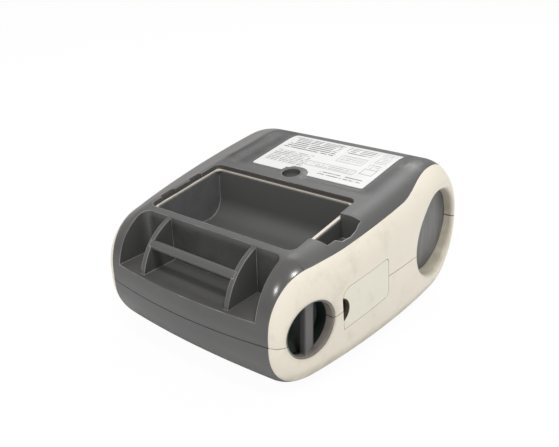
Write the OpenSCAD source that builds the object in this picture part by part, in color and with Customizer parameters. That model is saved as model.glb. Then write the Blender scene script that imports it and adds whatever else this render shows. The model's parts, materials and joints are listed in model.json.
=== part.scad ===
/* [Case] */
// Width across the cream side bands
body_w = 118; // [110:0.5:130]
// Length from the nose to the back of the roll end
body_l = 145; // [142:0.5:150]
// Radius of the round roll end, half the overall height
rear_r = 33.8; // [33:0.1:35]
// Slope of the underside, rising towards the roll end
under_tilt = 8.3; // [7.5:0.1:9]
// Radius of the nose where it meets the underside
nose_top_r = 25.5; // [23:0.1:27]
// Radius of the nose where it meets the control panel
nose_low_r = 24.3; // [22:0.1:25.5]
// Rounding of the long edges of the case
edge_r = 14.7; // [12:0.1:16]
// Rounding where the nose meets the sides
nose_edge_r = 4.9; // [4:0.1:8]
// How far the nose stands proud in the middle
nose_bow = 3.6; // [2:0.1:5]
// How far the roll end stands proud in the middle
rear_bow = 1.8; // [1:0.1:3]
// Wall of the two case shells
wall = 2.6; // [2.2:0.1:3]
// Height of the parting line at the nose
part_front_z = 25.2; // [23:0.1:27]
// Height of the parting line along the roll end
part_rear_z = 33; // [31:0.1:35]
// Place where the parting line levels out, from the middle
part_knee_y = -8; // [-14:0.5:-4]
// Width of the dark edge between the underside and a side band
band_inset = 4.6; // [4:0.1:6]
// Extra width of that dark edge beside the roll
band_inset_rear = 3.4; // [2:0.1:4]
/* [Battery bay] */
// Inside width of the bay
bay_w = 77; // [72:0.1:78]
// Inside length of the bay
bay_l = 41.7; // [40:0.1:42]
// Near wall of the bay, measured from the middle of the case
bay_near_y = -46.8; // [-47.2:0.1:-46.5]
// Height of the bay floor above the panel face
bay_floor_z = 36; // [35.5:0.1:38]
// Rounding along the floor of the bay
bay_floor_r = 9; // [6:0.5:11]
// Wall of the tub
tub_wall = 1.6; // [1.4:0.1:2]
// Depth of the tub rim below the underside
rim_depth = 2; // [1.5:0.1:2.5]
// Width of the seal on the rim
seal_w = 1.4; // [1:0.1:1.5]
// Width of the latch well beside the bay
well_w = 12; // [10:0.1:12]
// Length of the latch well
well_l = 22; // [18:0.5:24]
// Depth of the latch well floor above the panel face
well_z = 49; // [47:0.1:51]
/* [Belt clip pocket] */
// Width of the pocket
pocket_w = 76.6; // [70:0.1:78]
// Back wall of the pocket, measured from the middle of the case
pocket_back_y = -51.7; // [-52.4:0.1:-51.2]
// Height of the pocket floor
pocket_z = 34.5; // [33:0.1:35]
// Distance between the two fins
fin_pitch = 47.2; // [40:0.1:52]
// Thickness of a fin
fin_t = 2.2; // [1.8:0.1:3]
// Diameter of the bar that a belt clip hooks round
bar_d = 4; // [3:0.1:4.6]
/* [Label and screws] */
// Width of the rating label
label_w = 62; // [54:0.5:64]
// Length of the rating label
label_l = 37; // [32:0.5:38]
// Thickness of the label
label_t = 0.25; // [0.2:0.05:0.4]
// Depth of the dish that takes the label
dish_depth = 0.9; // [0.6:0.1:1.2]
// Diameter of the screw hole beside the label
boss_hole_d = 8.6; // [7.5:0.1:9]
// Diameter of the raised ring round the screw hole
boss_d = 14.4; // [12.5:0.1:15]
// Shank diameter of a case screw
screw_d = 2.6; // [2.2:0.1:3]
/* [Strap eyes and roll windows] */
// Diameter of a strap eye
eye_d = 24; // [22:0.1:24.5]
// Height of the strap eyes
eye_z = 28.7; // [28:0.1:29.5]
// Place of the strap eyes, measured from the middle of the case
eye_y = -53.3; // [-54:0.1:-52.5]
// Width of the bar across a strap eye
eye_bar_w = 5; // [4:0.1:6]
// Diameter of a roll window
window_d = 40.4; // [37:0.1:41]
// Height of the roll windows
window_z = 35.9; // [35:0.1:37]
// Place of the roll windows, measured from the middle of the case
window_y = 37.2; // [36:0.1:38]
// Distance of the roll windows from the centre line
window_x = 51.5; // [51:0.1:52.5]
/* [Port door] */
// Length of the rubber door
door_l = 29.2; // [26:0.1:30]
// Height of the rubber door
door_h = 18; // [16:0.1:19]
// Slope of the door
door_tilt = 5.5; // [4:0.1:7]
/* [Lid and platen] */
// Width of the lid
lid_w = 90.4; // [88:0.1:91]
// Diameter of the lid hinge barrel
hinge_d = 9.2; // [8:0.1:10]
// Diameter of the hinge pin
pin_d = 2.5; // [2:0.1:3]
// Diameter of the rubber platen
platen_d = 10.4; // [9.6:0.1:10.6]
// Length of the rubber platen
platen_l = 71; // [66:0.5:71.5]
// Diameter of the platen shaft
shaft_d = 4; // [3:0.1:4.4]
// Gear module
gear_m = 0.6; // [0.55:0.01:0.6]
// Teeth of the platen gear
platen_teeth = 20; // [18:1:21]
// Teeth of each idler gear
idler_teeth = 26; // [24:1:26]
// Teeth of the motor pinion
pinion_teeth = 12; // [12:1:14]
// Diameter of the feed motor
motor_d = 18; // [16:0.5:18]
/* [Media guides] */
// Inside radius of the media tray
tray_r = 27.5; // [26.5:0.1:27.5]
// Travel of each media guide
guide_travel = 13; // [8:0.5:14]
/* [Panel] */
// Diameter of the feed and power buttons
button_d = 10; // [8:0.5:11]
// Length of the display window, across the panel
display_l = 42; // [36:0.5:46]
// Width of the display window
display_w = 17; // [14:0.5:17]
/* [Hidden] */
$fn = 64;

dark = [0.33, 0.32, 0.33];
cream = [0.9, 0.88, 0.8];
steel = [0.72, 0.73, 0.75];
gap = 0.3;
eps = 0.01;

half_w = body_w / 2;
rear_y = body_l / 2 - rear_r;
nose_y = -body_l / 2;
nose_top_y = nose_y + nose_top_r;
nose_low_y = nose_y + nose_low_r;
under_z0 = rear_r * (1 + 1 / cos(under_tilt)) - rear_y * tan(under_tilt);
nose_top_z = under_z0 + nose_top_y * tan(under_tilt) - nose_top_r / cos(under_tilt);
rear_touch_y = rear_y - rear_r * sin(under_tilt);
nose_touch_y = nose_top_y - nose_top_r * sin(under_tilt);

// Height of the underside plane at a place along the case
function under_z(y) = under_z0 + y * tan(under_tilt);
// Half width of the case, which swells towards its middle
swell_y = 16;
function side_x(y) = half_w - 0.0013 * pow(y - swell_y, 2);
// Height of the parting line
part_back_z = part_rear_z + 3.4;
rise_y0 = 17;
rise_y1 = 57.4;
function part_z(y) = y > part_knee_y
    ? part_rear_z + (part_back_z - part_rear_z) * min(1, max(0, (y - rise_y0) / (rise_y1 - rise_y0)))
    : part_front_z + (part_rear_z - part_front_z) * (y - nose_y) / (part_knee_y - nose_y);
// Plan line between the dark case and a side band
function smooth(t) = t <= 0 ? 0 : t >= 1 ? 1 : t * t * (3 - 2 * t);
function band_x(y) = side_x(y) - band_inset - band_inset_rear * smooth((y - 8) / 26)
    - 1.2 * smooth((-30 - y) / 30);

// Side profile as upper and lower points with their outward normals
function top_point(y) = y >= rear_touch_y
    ? let (a = acos(min(1, (y - rear_y) / rear_r)))
      [y, rear_r + rear_r * sin(a), cos(a), sin(a), edge_r]
    : y > nose_touch_y ? [y, under_z(y), -sin(under_tilt), cos(under_tilt), edge_r]
    : let (a = acos(min(1, max(-1, (y - nose_top_y) / nose_top_r))), f = smooth((a - 90) / 90))
      [y, nose_top_z + nose_top_r * sin(a), cos(a), sin(a), edge_r + (nose_edge_r - edge_r) * f];
function low_point(y) = y >= rear_y
    ? let (a = acos(min(1, (y - rear_y) / rear_r)))
      [y, rear_r - rear_r * sin(a), cos(a), -sin(a), edge_r]
    : y > nose_low_y ? [y, 0, 0, -1, edge_r]
    : let (a = acos(max(-1, (y - nose_low_y) / nose_low_r)), f = smooth((a - 90) / 90))
      [y, nose_low_r - nose_low_r * sin(a), cos(a), -sin(a), edge_r + (nose_edge_r - edge_r) * f];
arc_steps = 9;
flat_steps = 5;
places = concat(
    [for (i = [0 : arc_steps - 1]) body_l / 2 - rear_r * (1 - cos(90 * i / arc_steps))],
    [for (i = [0 : flat_steps]) rear_y + (nose_top_y - rear_y) * i / flat_steps],
    [for (i = [1 : arc_steps]) nose_top_y - nose_top_r * sin(90 * i / arc_steps)]);
// Closed profile: along the top from the roll end to the nose, then back along the bottom
ring = concat([for (y = places) top_point(y)],
    [for (i = [len(places) - 1 : -1 : 1]) low_point(places[i])]);
// The nose and the roll end are bowed across the case
function bow(x, y) = y + (nose_bow * pow(max(0, (-y - 34) / 38), 2)
    - rear_bow * pow(max(0, (y - 26) / 46), 2)) * pow(x / 45, 2);
fillet_steps = 5;
stations = concat([for (i = [0 : fillet_steps - 1]) [-1, 90 - 90 * i / fillet_steps]],
    [for (f = [-1, -0.5, 0, 0.5, 1]) [f, 0]],
    [for (i = [1 : fillet_steps]) [1, 90 * i / fillet_steps]]);
function station_point(s, p, inset) =
    let (r = p[4], t = r - (r - inset) * cos(s[1]),
         q = [p[0] - p[2] * t, p[1] - p[3] * t],
         x = s[0] * (side_x(q[0]) - r + (r - inset) * sin(s[1])))
    [x, bow(x, q[0]), q[1]];

// The whole rounded case, made smaller all round by an inset
module body_form(inset = 0) {
    m = len(ring);
    k = len(stations);
    n = len(places);
    points = [for (s = stations) for (p = ring) station_point(s, p, inset)];
    skin = [for (i = [0 : k - 2]) for (j = [0 : m - 1])
        let (a = i * m + j, b = i * m + (j + 1) % m)
        let (c = (i + 1) * m + (j + 1) % m, d = (i + 1) * m + j)
        each [[a, c, b], [a, d, c]]];
    caps = [for (e = [0, 1]) for (j = [0 : n - 2])
        let (o = e * (k - 1) * m, a = o + j, b = o + j + 1)
        let (c = o + (m - j - 1) % m, d = o + (m - j) % m)
        each (e == 0 ? (j == 0 ? [[a, b, c]] : [[a, b, c], [a, c, d]])
            : (j == 0 ? [[a, c, b]] : [[a, c, b], [a, d, c]]))];
    polyhedron(points = points, faces = concat(skin, caps), convexity = 6);
}

// A flat outline drawn in length and height, carried across the case from x0 to x1
module across(x0, x1) {
    translate([x0, 0, 0]) rotate([90, 0, 90]) linear_extrude(x1 - x0) children();
}
// Puts a flat outline on the underside, from the given depth upwards
module on_underside(depth, height) {
    translate([0, 0, under_z0]) rotate([under_tilt, 0, 0]) translate([0, 0, -depth])
        linear_extrude(height) children();
}
module rounded(x0, y0, x1, y1, r) {
    translate([x0 + r, y0]) square([x1 - x0 - 2 * r, y1 - y0]);
    translate([x0, y0 + r]) square([x1 - x0, y1 - y0 - 2 * r]);
    for (x = [x0 + r, x1 - r]) for (y = [y0 + r, y1 - r]) translate([x, y]) circle(r);
}
module block(x0, y0, z0, x1, y1, z1) {
    translate([x0, y0, z0]) cube([x1 - x0, y1 - y0, z1 - z0]);
}
module rod_x(x0, x1, y, z, r) {
    translate([x0, y, z]) rotate([0, 90, 0]) cylinder(r = r, h = x1 - x0);
}
module tube_x(x0, x1, y, z, r_out, r_in) {
    difference() {
        rod_x(x0, x1, y, z, r_out);
        rod_x(x0 - 1, x1 + 1, y, z, r_in);
    }
}

far = 100;
module below_parting() {
    across(-far, far) polygon([[-far, -far], [-far, part_z(nose_y)], [nose_y, part_z(nose_y)],
        [part_knee_y, part_rear_z], [rise_y0, part_rear_z], [rise_y1, part_back_z],
        [far, part_back_z], [far, -far]]);
}
// Plan area of the dark case between the two side bands
band_places = [for (i = [0 : 15]) nose_y - 4 + (body_l + 8) * i / 15];
module between_bands() {
    translate([0, 0, -far]) linear_extrude(2 * far) polygon(concat(
        [for (y = band_places) [band_x(y), y]],
        [for (i = [len(band_places) - 1 : -1 : 0]) [-band_x(band_places[i]), band_places[i]]]));
}
module case_shell() {
    difference() {
        body_form(0);
        body_form(wall);
    }
}

// Places that several pieces share
bay_x1 = bay_w / 2;
bay_far_y = bay_near_y + bay_l;
tub_bottom_z = bay_floor_z - tub_wall;
well_x1 = bay_x1 + well_w;
well_far_y = bay_far_y - 10.8;
well_near_y = well_far_y - well_l;
boss_x = -0.8;
boss_y = 3.6;
boss_tube_z = 46;
screw_seat_z = boss_tube_z + 2.4;
bay_screw_x = 33;
bay_screw_y = -24.8;
bay_seat_z = bay_floor_z - 1.8;
bay_boss_z = bay_seat_z - 1.8;
eye_r = eye_d / 2;
eye_inner_r = eye_r - 0.7;
eye_back_x = 41;
window_r = window_d / 2;
window_t = 1.8;
window_wall = 1.6;
door_y = -22.3;
door_z = 31.3;
door_t = 2;

hinge_r = hinge_d / 2;
hinge_angle = -50;
hinge_y = rear_y + (rear_r - hinge_r) * cos(hinge_angle);
hinge_z = rear_r + (rear_r - hinge_r) * sin(hinge_angle);
knuckle_x = 38;
lid_x = lid_w / 2;
platen_r = platen_d / 2;
platen_y = -3.5;
platen_z = 8.2;
shaft_r = shaft_d / 2;
lid_front_y = platen_y - 5.2;
slot_y = lid_front_y - 2.1;
tear_y = slot_y - 0.9;
arm_x0 = platen_l / 2 + 0.6;
arm_x1 = arm_x0 + 2.2;
hook_x0 = arm_x1 + 0.6;
hook_x1 = hook_x0 + 1.5;
gear_x0 = hook_x1 + 0.6;
gear_x1 = gear_x0 + 2.8;
plate_x0 = lid_x + gap;
plate_x1 = plate_x0 + 1.5;
port_x0 = plate_x1 + gap;

/* Gears: a tooth phase of 0 at a direction is a tooth, 0.5 is a gap */
function gear_r(teeth) = teeth * gear_m / 2;
mesh_play = 0.06;
a_angle = 150;
b_angle = 180;
p_angle = 120;
reach_a = gear_r(platen_teeth) + gear_r(idler_teeth) + mesh_play;
reach_b = 2 * gear_r(idler_teeth) + mesh_play;
reach_p = gear_r(idler_teeth) + gear_r(pinion_teeth) + mesh_play;
idler_a_y = platen_y + reach_a * cos(a_angle);
idler_a_z = platen_z + reach_a * sin(a_angle);
idler_b_y = idler_a_y + reach_b * cos(b_angle);
idler_b_z = idler_a_z + reach_b * sin(b_angle);
pinion_y = idler_b_y + reach_p * cos(p_angle);
pinion_z = idler_b_z + reach_p * sin(p_angle);
function phase(dir, turn, teeth) = (dir - turn) * teeth / 360;
function meshed_turn(dir, turn, teeth, other_teeth) =
    dir + 180 - (0.5 - phase(dir, turn, teeth)) * 360 / other_teeth;
platen_turn = 0;
idler_a_turn = meshed_turn(a_angle, platen_turn, platen_teeth, idler_teeth);
idler_b_turn = meshed_turn(b_angle, idler_a_turn, idler_teeth, idler_teeth);
pinion_turn = meshed_turn(p_angle, idler_b_turn, idler_teeth, pinion_teeth);
// Tooth outline: each tooth has a root, a flank and a tip point on both sides
function tooth_points(teeth, m) = let (r = teeth * m / 2, step = 360 / teeth)
    [for (i = [0 : teeth - 1])
        for (p = [[-0.31, -1.15], [-0.19, 0], [-0.09, 0.8], [0.09, 0.8], [0.19, 0], [0.31, -1.15]])
        let (a = (i + p[0]) * step, rr = r + p[1] * m) [rr * cos(a), rr * sin(a)]];
module spur(x0, x1, y, z, teeth, turn, bore_r) {
    translate([x0, y, z]) rotate([90, 0, 90]) rotate(turn) linear_extrude(x1 - x0) difference() {
        polygon(tooth_points(teeth, gear_m));
        circle(bore_r);
    }
}
stud_r = 1.5;
run_gap = 0.06;

latch_y = -5;
latch_z = 25.8;
latch_rod_r = 1.5;
wall_y1 = -19.5;
wall_y0 = wall_y1 - 1.5;
frame_top_z = 30;
frame_z0 = 3.7;
motor_l = 18;
bracket_x1 = gear_x0 - 0.8;
bracket_x0 = bracket_x1 - 1.5;
motor_x1 = bracket_x0 - 0.02;
head_y1 = platen_y - platen_r - 0.2;
head_y0 = head_y1 - 1.1;
sink_y0 = head_y0 - 4.1;
head_half = platen_l / 2 + 0.2;
head_top_z = 21.6;
spring_x = 18;
spring_z = 14;

release_x = 30;
release_y = -23;
release_r = 3.4;
button_x = 33;
button_y = -38;
panel_low_z = 0.5;
board_z = 7.5;
display_y = -37.5;
main_z = 24;
main_x0 = -40;
main_x1 = 14;
main_y0 = -46;
main_y1 = -23.5;
board_screw_places = [for (x = [-35.5, 9.5]) for (y = [-43, -31]) [x, y]];

tray_t = 1.2;
guide_x = 38.5;
guide_t = 1.8;
rack_m = 0.5;
rack_teeth = 14;
rack_r = rack_m * rack_teeth / 2;
rack_play = 0.1;
rack_y = 16.5;
rack_z0 = 58.6;
rack_z1 = 60.4;

// Side profile of the case as a flat outline of arcs and straight lines
module side_profile(shift = 0) {
    translate([shift, 0]) {
        translate([rear_y, rear_r]) circle(rear_r);
        translate([nose_top_y, nose_top_z]) circle(nose_top_r);
        polygon([[nose_low_y, 0], [rear_y, 0], [rear_y, rear_r], [rear_touch_y, under_z(rear_touch_y)],
            [nose_touch_y, under_z(nose_touch_y)], [nose_top_y, nose_top_z]]);
    }
}

module pocket_cut() {
    translate([0, 0, pocket_z]) linear_extrude(far)
        rounded(-pocket_w / 2, nose_y - 20, pocket_w / 2, pocket_back_y, 4);
}
module well_outline(grow = 0) {
    x0 = bay_x1 + (grow > 0 ? tub_wall + 0.2 : 0.5);
    polygon([[x0, well_near_y - grow], [well_x1 - 3.4 + grow, well_near_y + 1.4 - grow],
        [well_x1 - 2.8 + grow, well_near_y + 5.8], [well_x1 - 0.9 + grow, well_near_y + 7.5],
        [well_x1 + grow, well_near_y + 12.2], [well_x1 - 0.3 + grow, well_near_y + 16.5],
        [well_x1 - 1.2 + grow, well_far_y - 2.4], [well_x1 - 1.4 + grow, well_far_y + grow],
        [x0, well_far_y - 0.8 + grow]]);
}
module bay_outline(grow = 0) {
    rounded(-bay_x1 - grow, bay_near_y - grow, bay_x1 + grow, bay_far_y + grow, 4);
}
module tub_outline(grow) {
    translate([-bay_x1 - tub_wall - grow, bay_near_y - tub_wall - grow])
        square([bay_w + 2 * (tub_wall + grow), bay_l + 2 * (tub_wall + grow)]);
}
// The same outline in the slanted plane of the underside, a little below its surface
function slope_y(y, depth) = (y - depth * sin(under_tilt)) / cos(under_tilt);
module bay_outline_on_slope(grow = 0, depth = 2) {
    rounded(-bay_x1 - grow, slope_y(bay_near_y - grow, depth),
        bay_x1 + grow, slope_y(bay_far_y + grow, depth), 3.5);
}
hook_slots = [[-41.4, -33.4], [-23.4, -15.9]];
lip = 1.2;

module rear_case() {
    color(dark) {
        difference() {
            union() {
                difference() {
                    intersection() {
                        case_shell();
                        between_bands();
                    }
                    below_parting();
                }
                intersection() {
                    body_form(wall - 0.6);
                    between_bands();
                    union() {
                        block(-pocket_w / 2 - 2, nose_y, pocket_z - 2, pocket_w / 2 + 2,
                            bay_near_y - tub_wall - 0.2, far);
                        translate([0, 0, well_z - 1.6]) linear_extrude(far) well_outline(1.4);
                        translate([boss_x, boss_y, boss_tube_z]) cylinder(r = boss_hole_d / 2 + 1.5, h = 30);
                        difference() {
                            translate([0, 0, under_z(bay_near_y) - rim_depth - 2.5]) linear_extrude(far)
                                bay_outline(3.2);
                            translate([0, 0, -far]) linear_extrude(2 * far) tub_outline(0.2);
                        }
                    }
                }
            }
            pocket_cut();
            // Bay opening, the latch well and the slots for the hooks of a battery pack
            intersection() {
                translate([0, 0, bay_floor_z - 6]) linear_extrude(far) tub_outline(0.2);
                on_underside(far, far - rim_depth) square(4 * far, center = true);
            }
            on_underside(30, far) bay_outline_on_slope(lip);
            translate([0, 0, well_z]) linear_extrude(far) well_outline();
            on_underside(rim_depth + 3, far) for (s = hook_slots)
                rounded(-bay_x1 - 3, s[0], -bay_x1 + 1, s[1], 0.8);
            // Dish for the label with a ring left standing round the screw hole
            difference() {
                translate([0, 0, 50]) linear_extrude(far) difference() {
                    rounded(-37.6, 1.4, 41, 46.4, 3);
                    translate([boss_x, boss_y]) circle(boss_d / 2);
                }
                body_form(dish_depth);
            }
            translate([boss_x, boss_y, screw_seat_z]) cylinder(r = boss_hole_d / 2, h = far);
            translate([boss_x, boss_y, boss_tube_z - 1]) cylinder(r = screw_d / 2 + 0.2, h = far);
        }
        difference() {
            intersection() {
                across(-fin_pitch, fin_pitch) side_profile(fin_set_back);
                for (s = [-1, 1]) block(s * fin_pitch / 2 - fin_t / 2, nose_y, pocket_z - 1,
                    s * fin_pitch / 2 + fin_t / 2, pocket_back_y + 1, far);
            }
            rod_x(-bar_half, bar_half, bar_y, bar_z, bar_d / 2 + 0.05);
        }
    }
}
fin_set_back = 3;
bar_y = nose_y + 10.7;
bar_z = pocket_z + 11;
bar_half = fin_pitch / 2 - fin_t / 2 + 1.2;
module clip_bar() {
    color(dark) rod_x(-bar_half + 0.1, bar_half - 0.1, bar_y, bar_z, bar_d / 2);
}

// Area that the lid covers, seen from the side
module lid_area(grow = 0) {
    polygon([[lid_front_y - grow, -5], [lid_front_y - grow, 9], [30, 9], [hinge_y, hinge_z + grow],
        [rear_y + 60 * cos(hinge_angle), rear_r + 60 * sin(hinge_angle) + grow]]);
}
module panel_holes() {
    translate([0, 0, -1]) linear_extrude(wall + 2) {
        for (s = [-1, 1]) translate([s * button_x, button_y]) circle(button_d / 2 + gap);
        translate([release_x, release_y]) circle(release_r + gap);
        rounded(-display_l / 2 + 1.5, display_y - display_w / 2 + 1.5,
            display_l / 2 - 1.5, display_y + display_w / 2 - 1.5, 1.5);
    }
    translate([0, 0, -1]) linear_extrude(2.9) rounded(-display_l / 2 - 0.1, display_y - display_w / 2 - 0.1,
        display_l / 2 + 0.1, display_y + display_w / 2 + 0.1, 2);
}
// Reach of the lid's edge round the hinge when it stands open
lid_sweep_r = hinge_r + 0.85;
foot_screw_places = [for (x = [-42.2, 42.2]) for (y = [-18.6, -14]) [x, y]];
module front_case() {
    color(dark) difference() {
        union() {
            intersection() {
                case_shell();
                between_bands();
                below_parting();
            }
            // Hinge ears
            intersection() {
                body_form(1);
                for (s = [-1, 1]) translate([s * (knuckle_x + gap + 3.4), 0, 0]) {
                    rod_x(-3.4, 3.4, hinge_y, hinge_z, hinge_r);
                    across(-3.4, 3.4) translate([hinge_y, hinge_z]) rotate(hinge_angle + 90)
                        translate([0, -hinge_r]) square([9, 2 * hinge_r]);
                }
            }
            // Bosses under the feet of the print frame, and a rib behind the tear bar
            for (p = foot_screw_places) translate([p[0], p[1], 1]) cylinder(r = 2, h = frame_z0 - 1.02);
            block(-head_half, tear_y - 1.4, 1, head_half, tear_y, 5.1);
        }
        // Lid opening with the paper slot, and room for the hinge barrel
        difference() {
            across(-lid_x - gap, lid_x + gap) lid_area(gap);
            for (s = [-1, 1]) rod_x(s > 0 ? knuckle_x + gap : -knuckle_x - 7.1,
                s > 0 ? knuckle_x + 7.1 : -knuckle_x - gap, hinge_y, hinge_z, hinge_r);
        }
        across(-lid_x - gap, lid_x + gap) translate([slot_y, -5]) square([6, 14]);
        across(-head_half - 0.1, head_half + 0.1) translate([tear_y, -5]) square([6, 14]);
        rod_x(-knuckle_x - gap, knuckle_x + gap, hinge_y, hinge_z, lid_sweep_r);
        rod_x(-knuckle_x - 6, knuckle_x + 6, hinge_y, hinge_z, pin_d / 2 + 0.02);
        panel_holes();
        for (p = foot_screw_places) translate([p[0], p[1], 1.2]) cylinder(r = 1.02, h = 10);
    }
}

// One side band: the part of the shell outside the plan line
// Corner radii of the door: free end low and high, hinge end low and high
door_corners = [[-1, -1, 0.4], [-1, 1, 5], [1, -1, 3], [1, 1, 1.7]];
module door_outline(grow = 0) {
    translate([door_y, door_z]) rotate(door_tilt) hull() for (c = door_corners)
        translate([c[0] * (door_l / 2 + grow - c[2]), c[1] * (door_h / 2 + grow - c[2])]) circle(c[2]);
}
module side_band(s, lower) {
    mirror([s > 0 ? 0 : 1, 0, 0]) color(cream) difference() {
        intersection() {
            union() {
                difference() {
                    case_shell();
                    between_bands();
                    block(-far, -far, -far, 0, far, far);
                }
                intersection() {
                    body_form(0.4);
                    tube_x(window_x - window_t - 1.2, far, window_y, window_z,
                        window_r + window_wall, window_r - 1.6);
                }
            }
            if (lower) below_parting();
            else difference() {
                block(-far, -far, 0, far, far, far);
                below_parting();
            }
        }
        rod_x(window_x - window_t, far, window_y, window_z, window_r);
        rod_x(0, far, eye_y, eye_z, eye_r + 0.05);
        if (s > 0) across(half_w - 14, far) door_outline(gap);
    }
}
module right_band_rear() { side_band(1, false); }
module right_band_front() { side_band(1, true); }
module left_band_rear() { side_band(-1, false); }
module left_band_front() { side_band(-1, true); }

// Trough section of the bay, open upwards
module trough(y0, y1, z0, z1, r) {
    translate([y0, z0 + r]) square([y1 - y0, z1 - z0 - r]);
    translate([y0 + r, z0]) square([y1 - y0 - 2 * r, r + eps]);
    for (y = [y0 + r, y1 - r]) translate([y, z0 + r]) circle(r);
}
module battery_tub() {
    color(dark) difference() {
        union() {
            across(-bay_x1 - tub_wall, bay_x1 + tub_wall)
                trough(bay_near_y - tub_wall, bay_far_y + tub_wall, tub_bottom_z, 80, bay_floor_r + tub_wall);
            for (p = board_screw_places) translate([p[0], p[1], main_z + 1.5]) cylinder(r = 2.4, h = 14);
            for (s = [-1, 1]) translate([s * bay_screw_x, bay_screw_y, bay_boss_z]) cylinder(r = 4.2, h = 4);
        }
        across(-bay_x1, bay_x1) trough(bay_near_y, bay_far_y, bay_floor_z, 90, bay_floor_r);
        on_underside(rim_depth + seal_t + 0.02, far) square([300, 300], center = true);
        for (s = [-1, 1]) translate([s * bay_screw_x, bay_screw_y, 0]) {
            cylinder(r = screw_d / 2 + 0.2, h = 80);
            translate([0, 0, bay_seat_z]) cylinder(r = screw_d + 0.4, h = 20);
        }
        for (p = board_screw_places) translate([p[0], p[1], 0]) cylinder(r = 0.92, h = main_z + 6);
        block(contact_x0 - 0.1, bay_near_y - 10, contact_z0 - 0.1,
            contact_x1 + 0.1, bay_near_y + 1, contact_z1 + 0.1);
    }
}
seal_t = 0.8;
module bay_seal() {
    color([0.78, 0.72, 0.6]) on_underside(rim_depth + seal_t, seal_t) difference() {
        bay_outline_on_slope(seal_w, 2.4);
        bay_outline_on_slope(0.05, 2.4);
    }
}
contact_x0 = -12;
contact_x1 = 12;
contact_z0 = 40;
contact_z1 = 47;
module contact_block() {
    color([0.12, 0.12, 0.13]) difference() {
        block(contact_x0, bay_near_y - tub_wall - 0.1, contact_z0, contact_x1, bay_near_y + 0.4, contact_z1);
        for (i = [-2 : 2]) block(i * 4.4 - 0.7, bay_near_y - 1.3, contact_z0 + 1,
            i * 4.4 + 0.7, bay_near_y + 1, contact_z1 - 1);
    }
}
module battery_contacts() {
    color([0.85, 0.68, 0.3]) for (i = [-2 : 2]) {
        block(i * 4.4 - 0.6, bay_near_y - 1.28, contact_z0 + 1.1,
            i * 4.4 + 0.6, bay_near_y - 0.9, contact_z1 - 1.1);
        translate([i * 4.4 - 0.6, bay_near_y - 0.3, (contact_z0 + contact_z1) / 2]) rotate([0, 90, 0])
            cylinder(r = 0.9, h = 1.2);
    }
}

label_x0 = -26;
label_y0 = 5.6;
module rating_label() {
    color("white") intersection() {
        difference() {
            body_form(dish_depth - 0.02 - label_t);
            body_form(dish_depth - 0.02);
        }
        translate([0, 0, 50]) linear_extrude(far) difference() {
            rounded(label_x0, label_y0, label_x0 + label_w, label_y0 + label_l, 1.2);
            translate([boss_x, boss_y]) circle(boss_d / 2 + 0.4);
        }
    }
}
module case_screw(z, length) {
    difference() {
        union() {
            translate([0, 0, z]) cylinder(r = screw_d, h = 1.7);
            translate([0, 0, z - length]) cylinder(r = screw_d / 2, h = length + eps);
        }
        translate([0, 0, z + 0.8]) for (a = [0, 90]) rotate(a) block(-1.6, -0.35, 0, 1.6, 0.35, 2);
    }
}
module case_screws() {
    color(steel) {
        translate([boss_x, boss_y, 0]) case_screw(screw_seat_z + 0.02, 9);
        for (s = [-1, 1]) translate([s * bay_screw_x, bay_screw_y, 0]) case_screw(bay_seat_z + 0.02, 5.5);
    }
}

module strap_eye(s) {
    mirror([s > 0 ? 0 : 1, 0, 0]) color(dark) intersection() {
        body_form(0.4);
        union() {
            tube_x(eye_back_x, far, eye_y, eye_z, eye_r, eye_inner_r);
            intersection() {
                rod_x(0, far, eye_y, eye_z, eye_inner_r + 0.5);
                block(eye_bar_x - 1.4, eye_y - eye_bar_w / 2, 0, eye_bar_x + 1.4, eye_y + eye_bar_w / 2, far);
            }
        }
    }
}
eye_bar_x = side_x(eye_y) - 3.2;
module strap_eye_right() { strap_eye(1); }
module strap_eye_left() { strap_eye(-1); }
cup_r = eye_inner_r - 0.05;
module strap_cup(s) {
    mirror([s > 0 ? 0 : 1, 0, 0]) color([0.06, 0.08, 0.08]) translate([eye_back_x, eye_y, eye_z])
        rotate([0, 90, 0]) difference() {
            cylinder(r = cup_r, h = eye_bar_x - 1.5 - eye_back_x);
            translate([0, 0, 4.5]) cylinder(r = cup_r - 0.8, h = far);
            translate([0, 0, 1.2 + cup_ball_r]) sphere(cup_ball_r, $fn = 48);
        }
}
cup_ball_r = (pow(cup_r - 0.8, 2) + pow(3.3, 2)) / (2 * 3.3);
module strap_cup_right() { strap_cup(1); }
module strap_cup_left() { strap_cup(-1); }
module roll_window(s) {
    mirror([s > 0 ? 0 : 1, 0, 0]) color([0.4, 0.4, 0.42])
        rod_x(window_x - window_t + 0.02, window_x, window_y, window_z, window_r - 0.1);
}
module roll_window_right() { roll_window(1); }
module roll_window_left() { roll_window(-1); }

// Rubber door over the sockets, with a fingernail notch at its free end
module port_door() {
    color([0.88, 0.87, 0.76]) difference() {
        intersection() {
            difference() {
                body_form(0.05);
                body_form(door_t);
            }
            across(0, far) door_outline();
        }
        translate([0, door_y - door_l / 2 - 2.35, door_z - 1.3]) rotate([0, 90, 0]) cylinder(r = 5.65, h = far);
    }
}
module port_board() {
    color([0.1, 0.35, 0.2]) block(port_x0, -36, 24, port_x0 + 1.2, -9, 40);
}
module usb_socket() {
    color(steel) difference() {
        block(port_x0 + 1.2, -32, 26.2, 53.6, -24, 30);
        block(port_x0 + 3, -31.6, 26.6, 55, -24.4, 29.6);
    }
}
module dc_jack() {
    color([0.1, 0.1, 0.1]) difference() {
        block(port_x0 + 1.2, -19, 26.4, 53.6, -11, 34.4);
        rod_x(port_x0 + 3, 55, -15, 30.4, 2.8);
    }
    color(steel) rod_x(port_x0 + 3, 53, -15, 30.4, 0.8);
}

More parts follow.
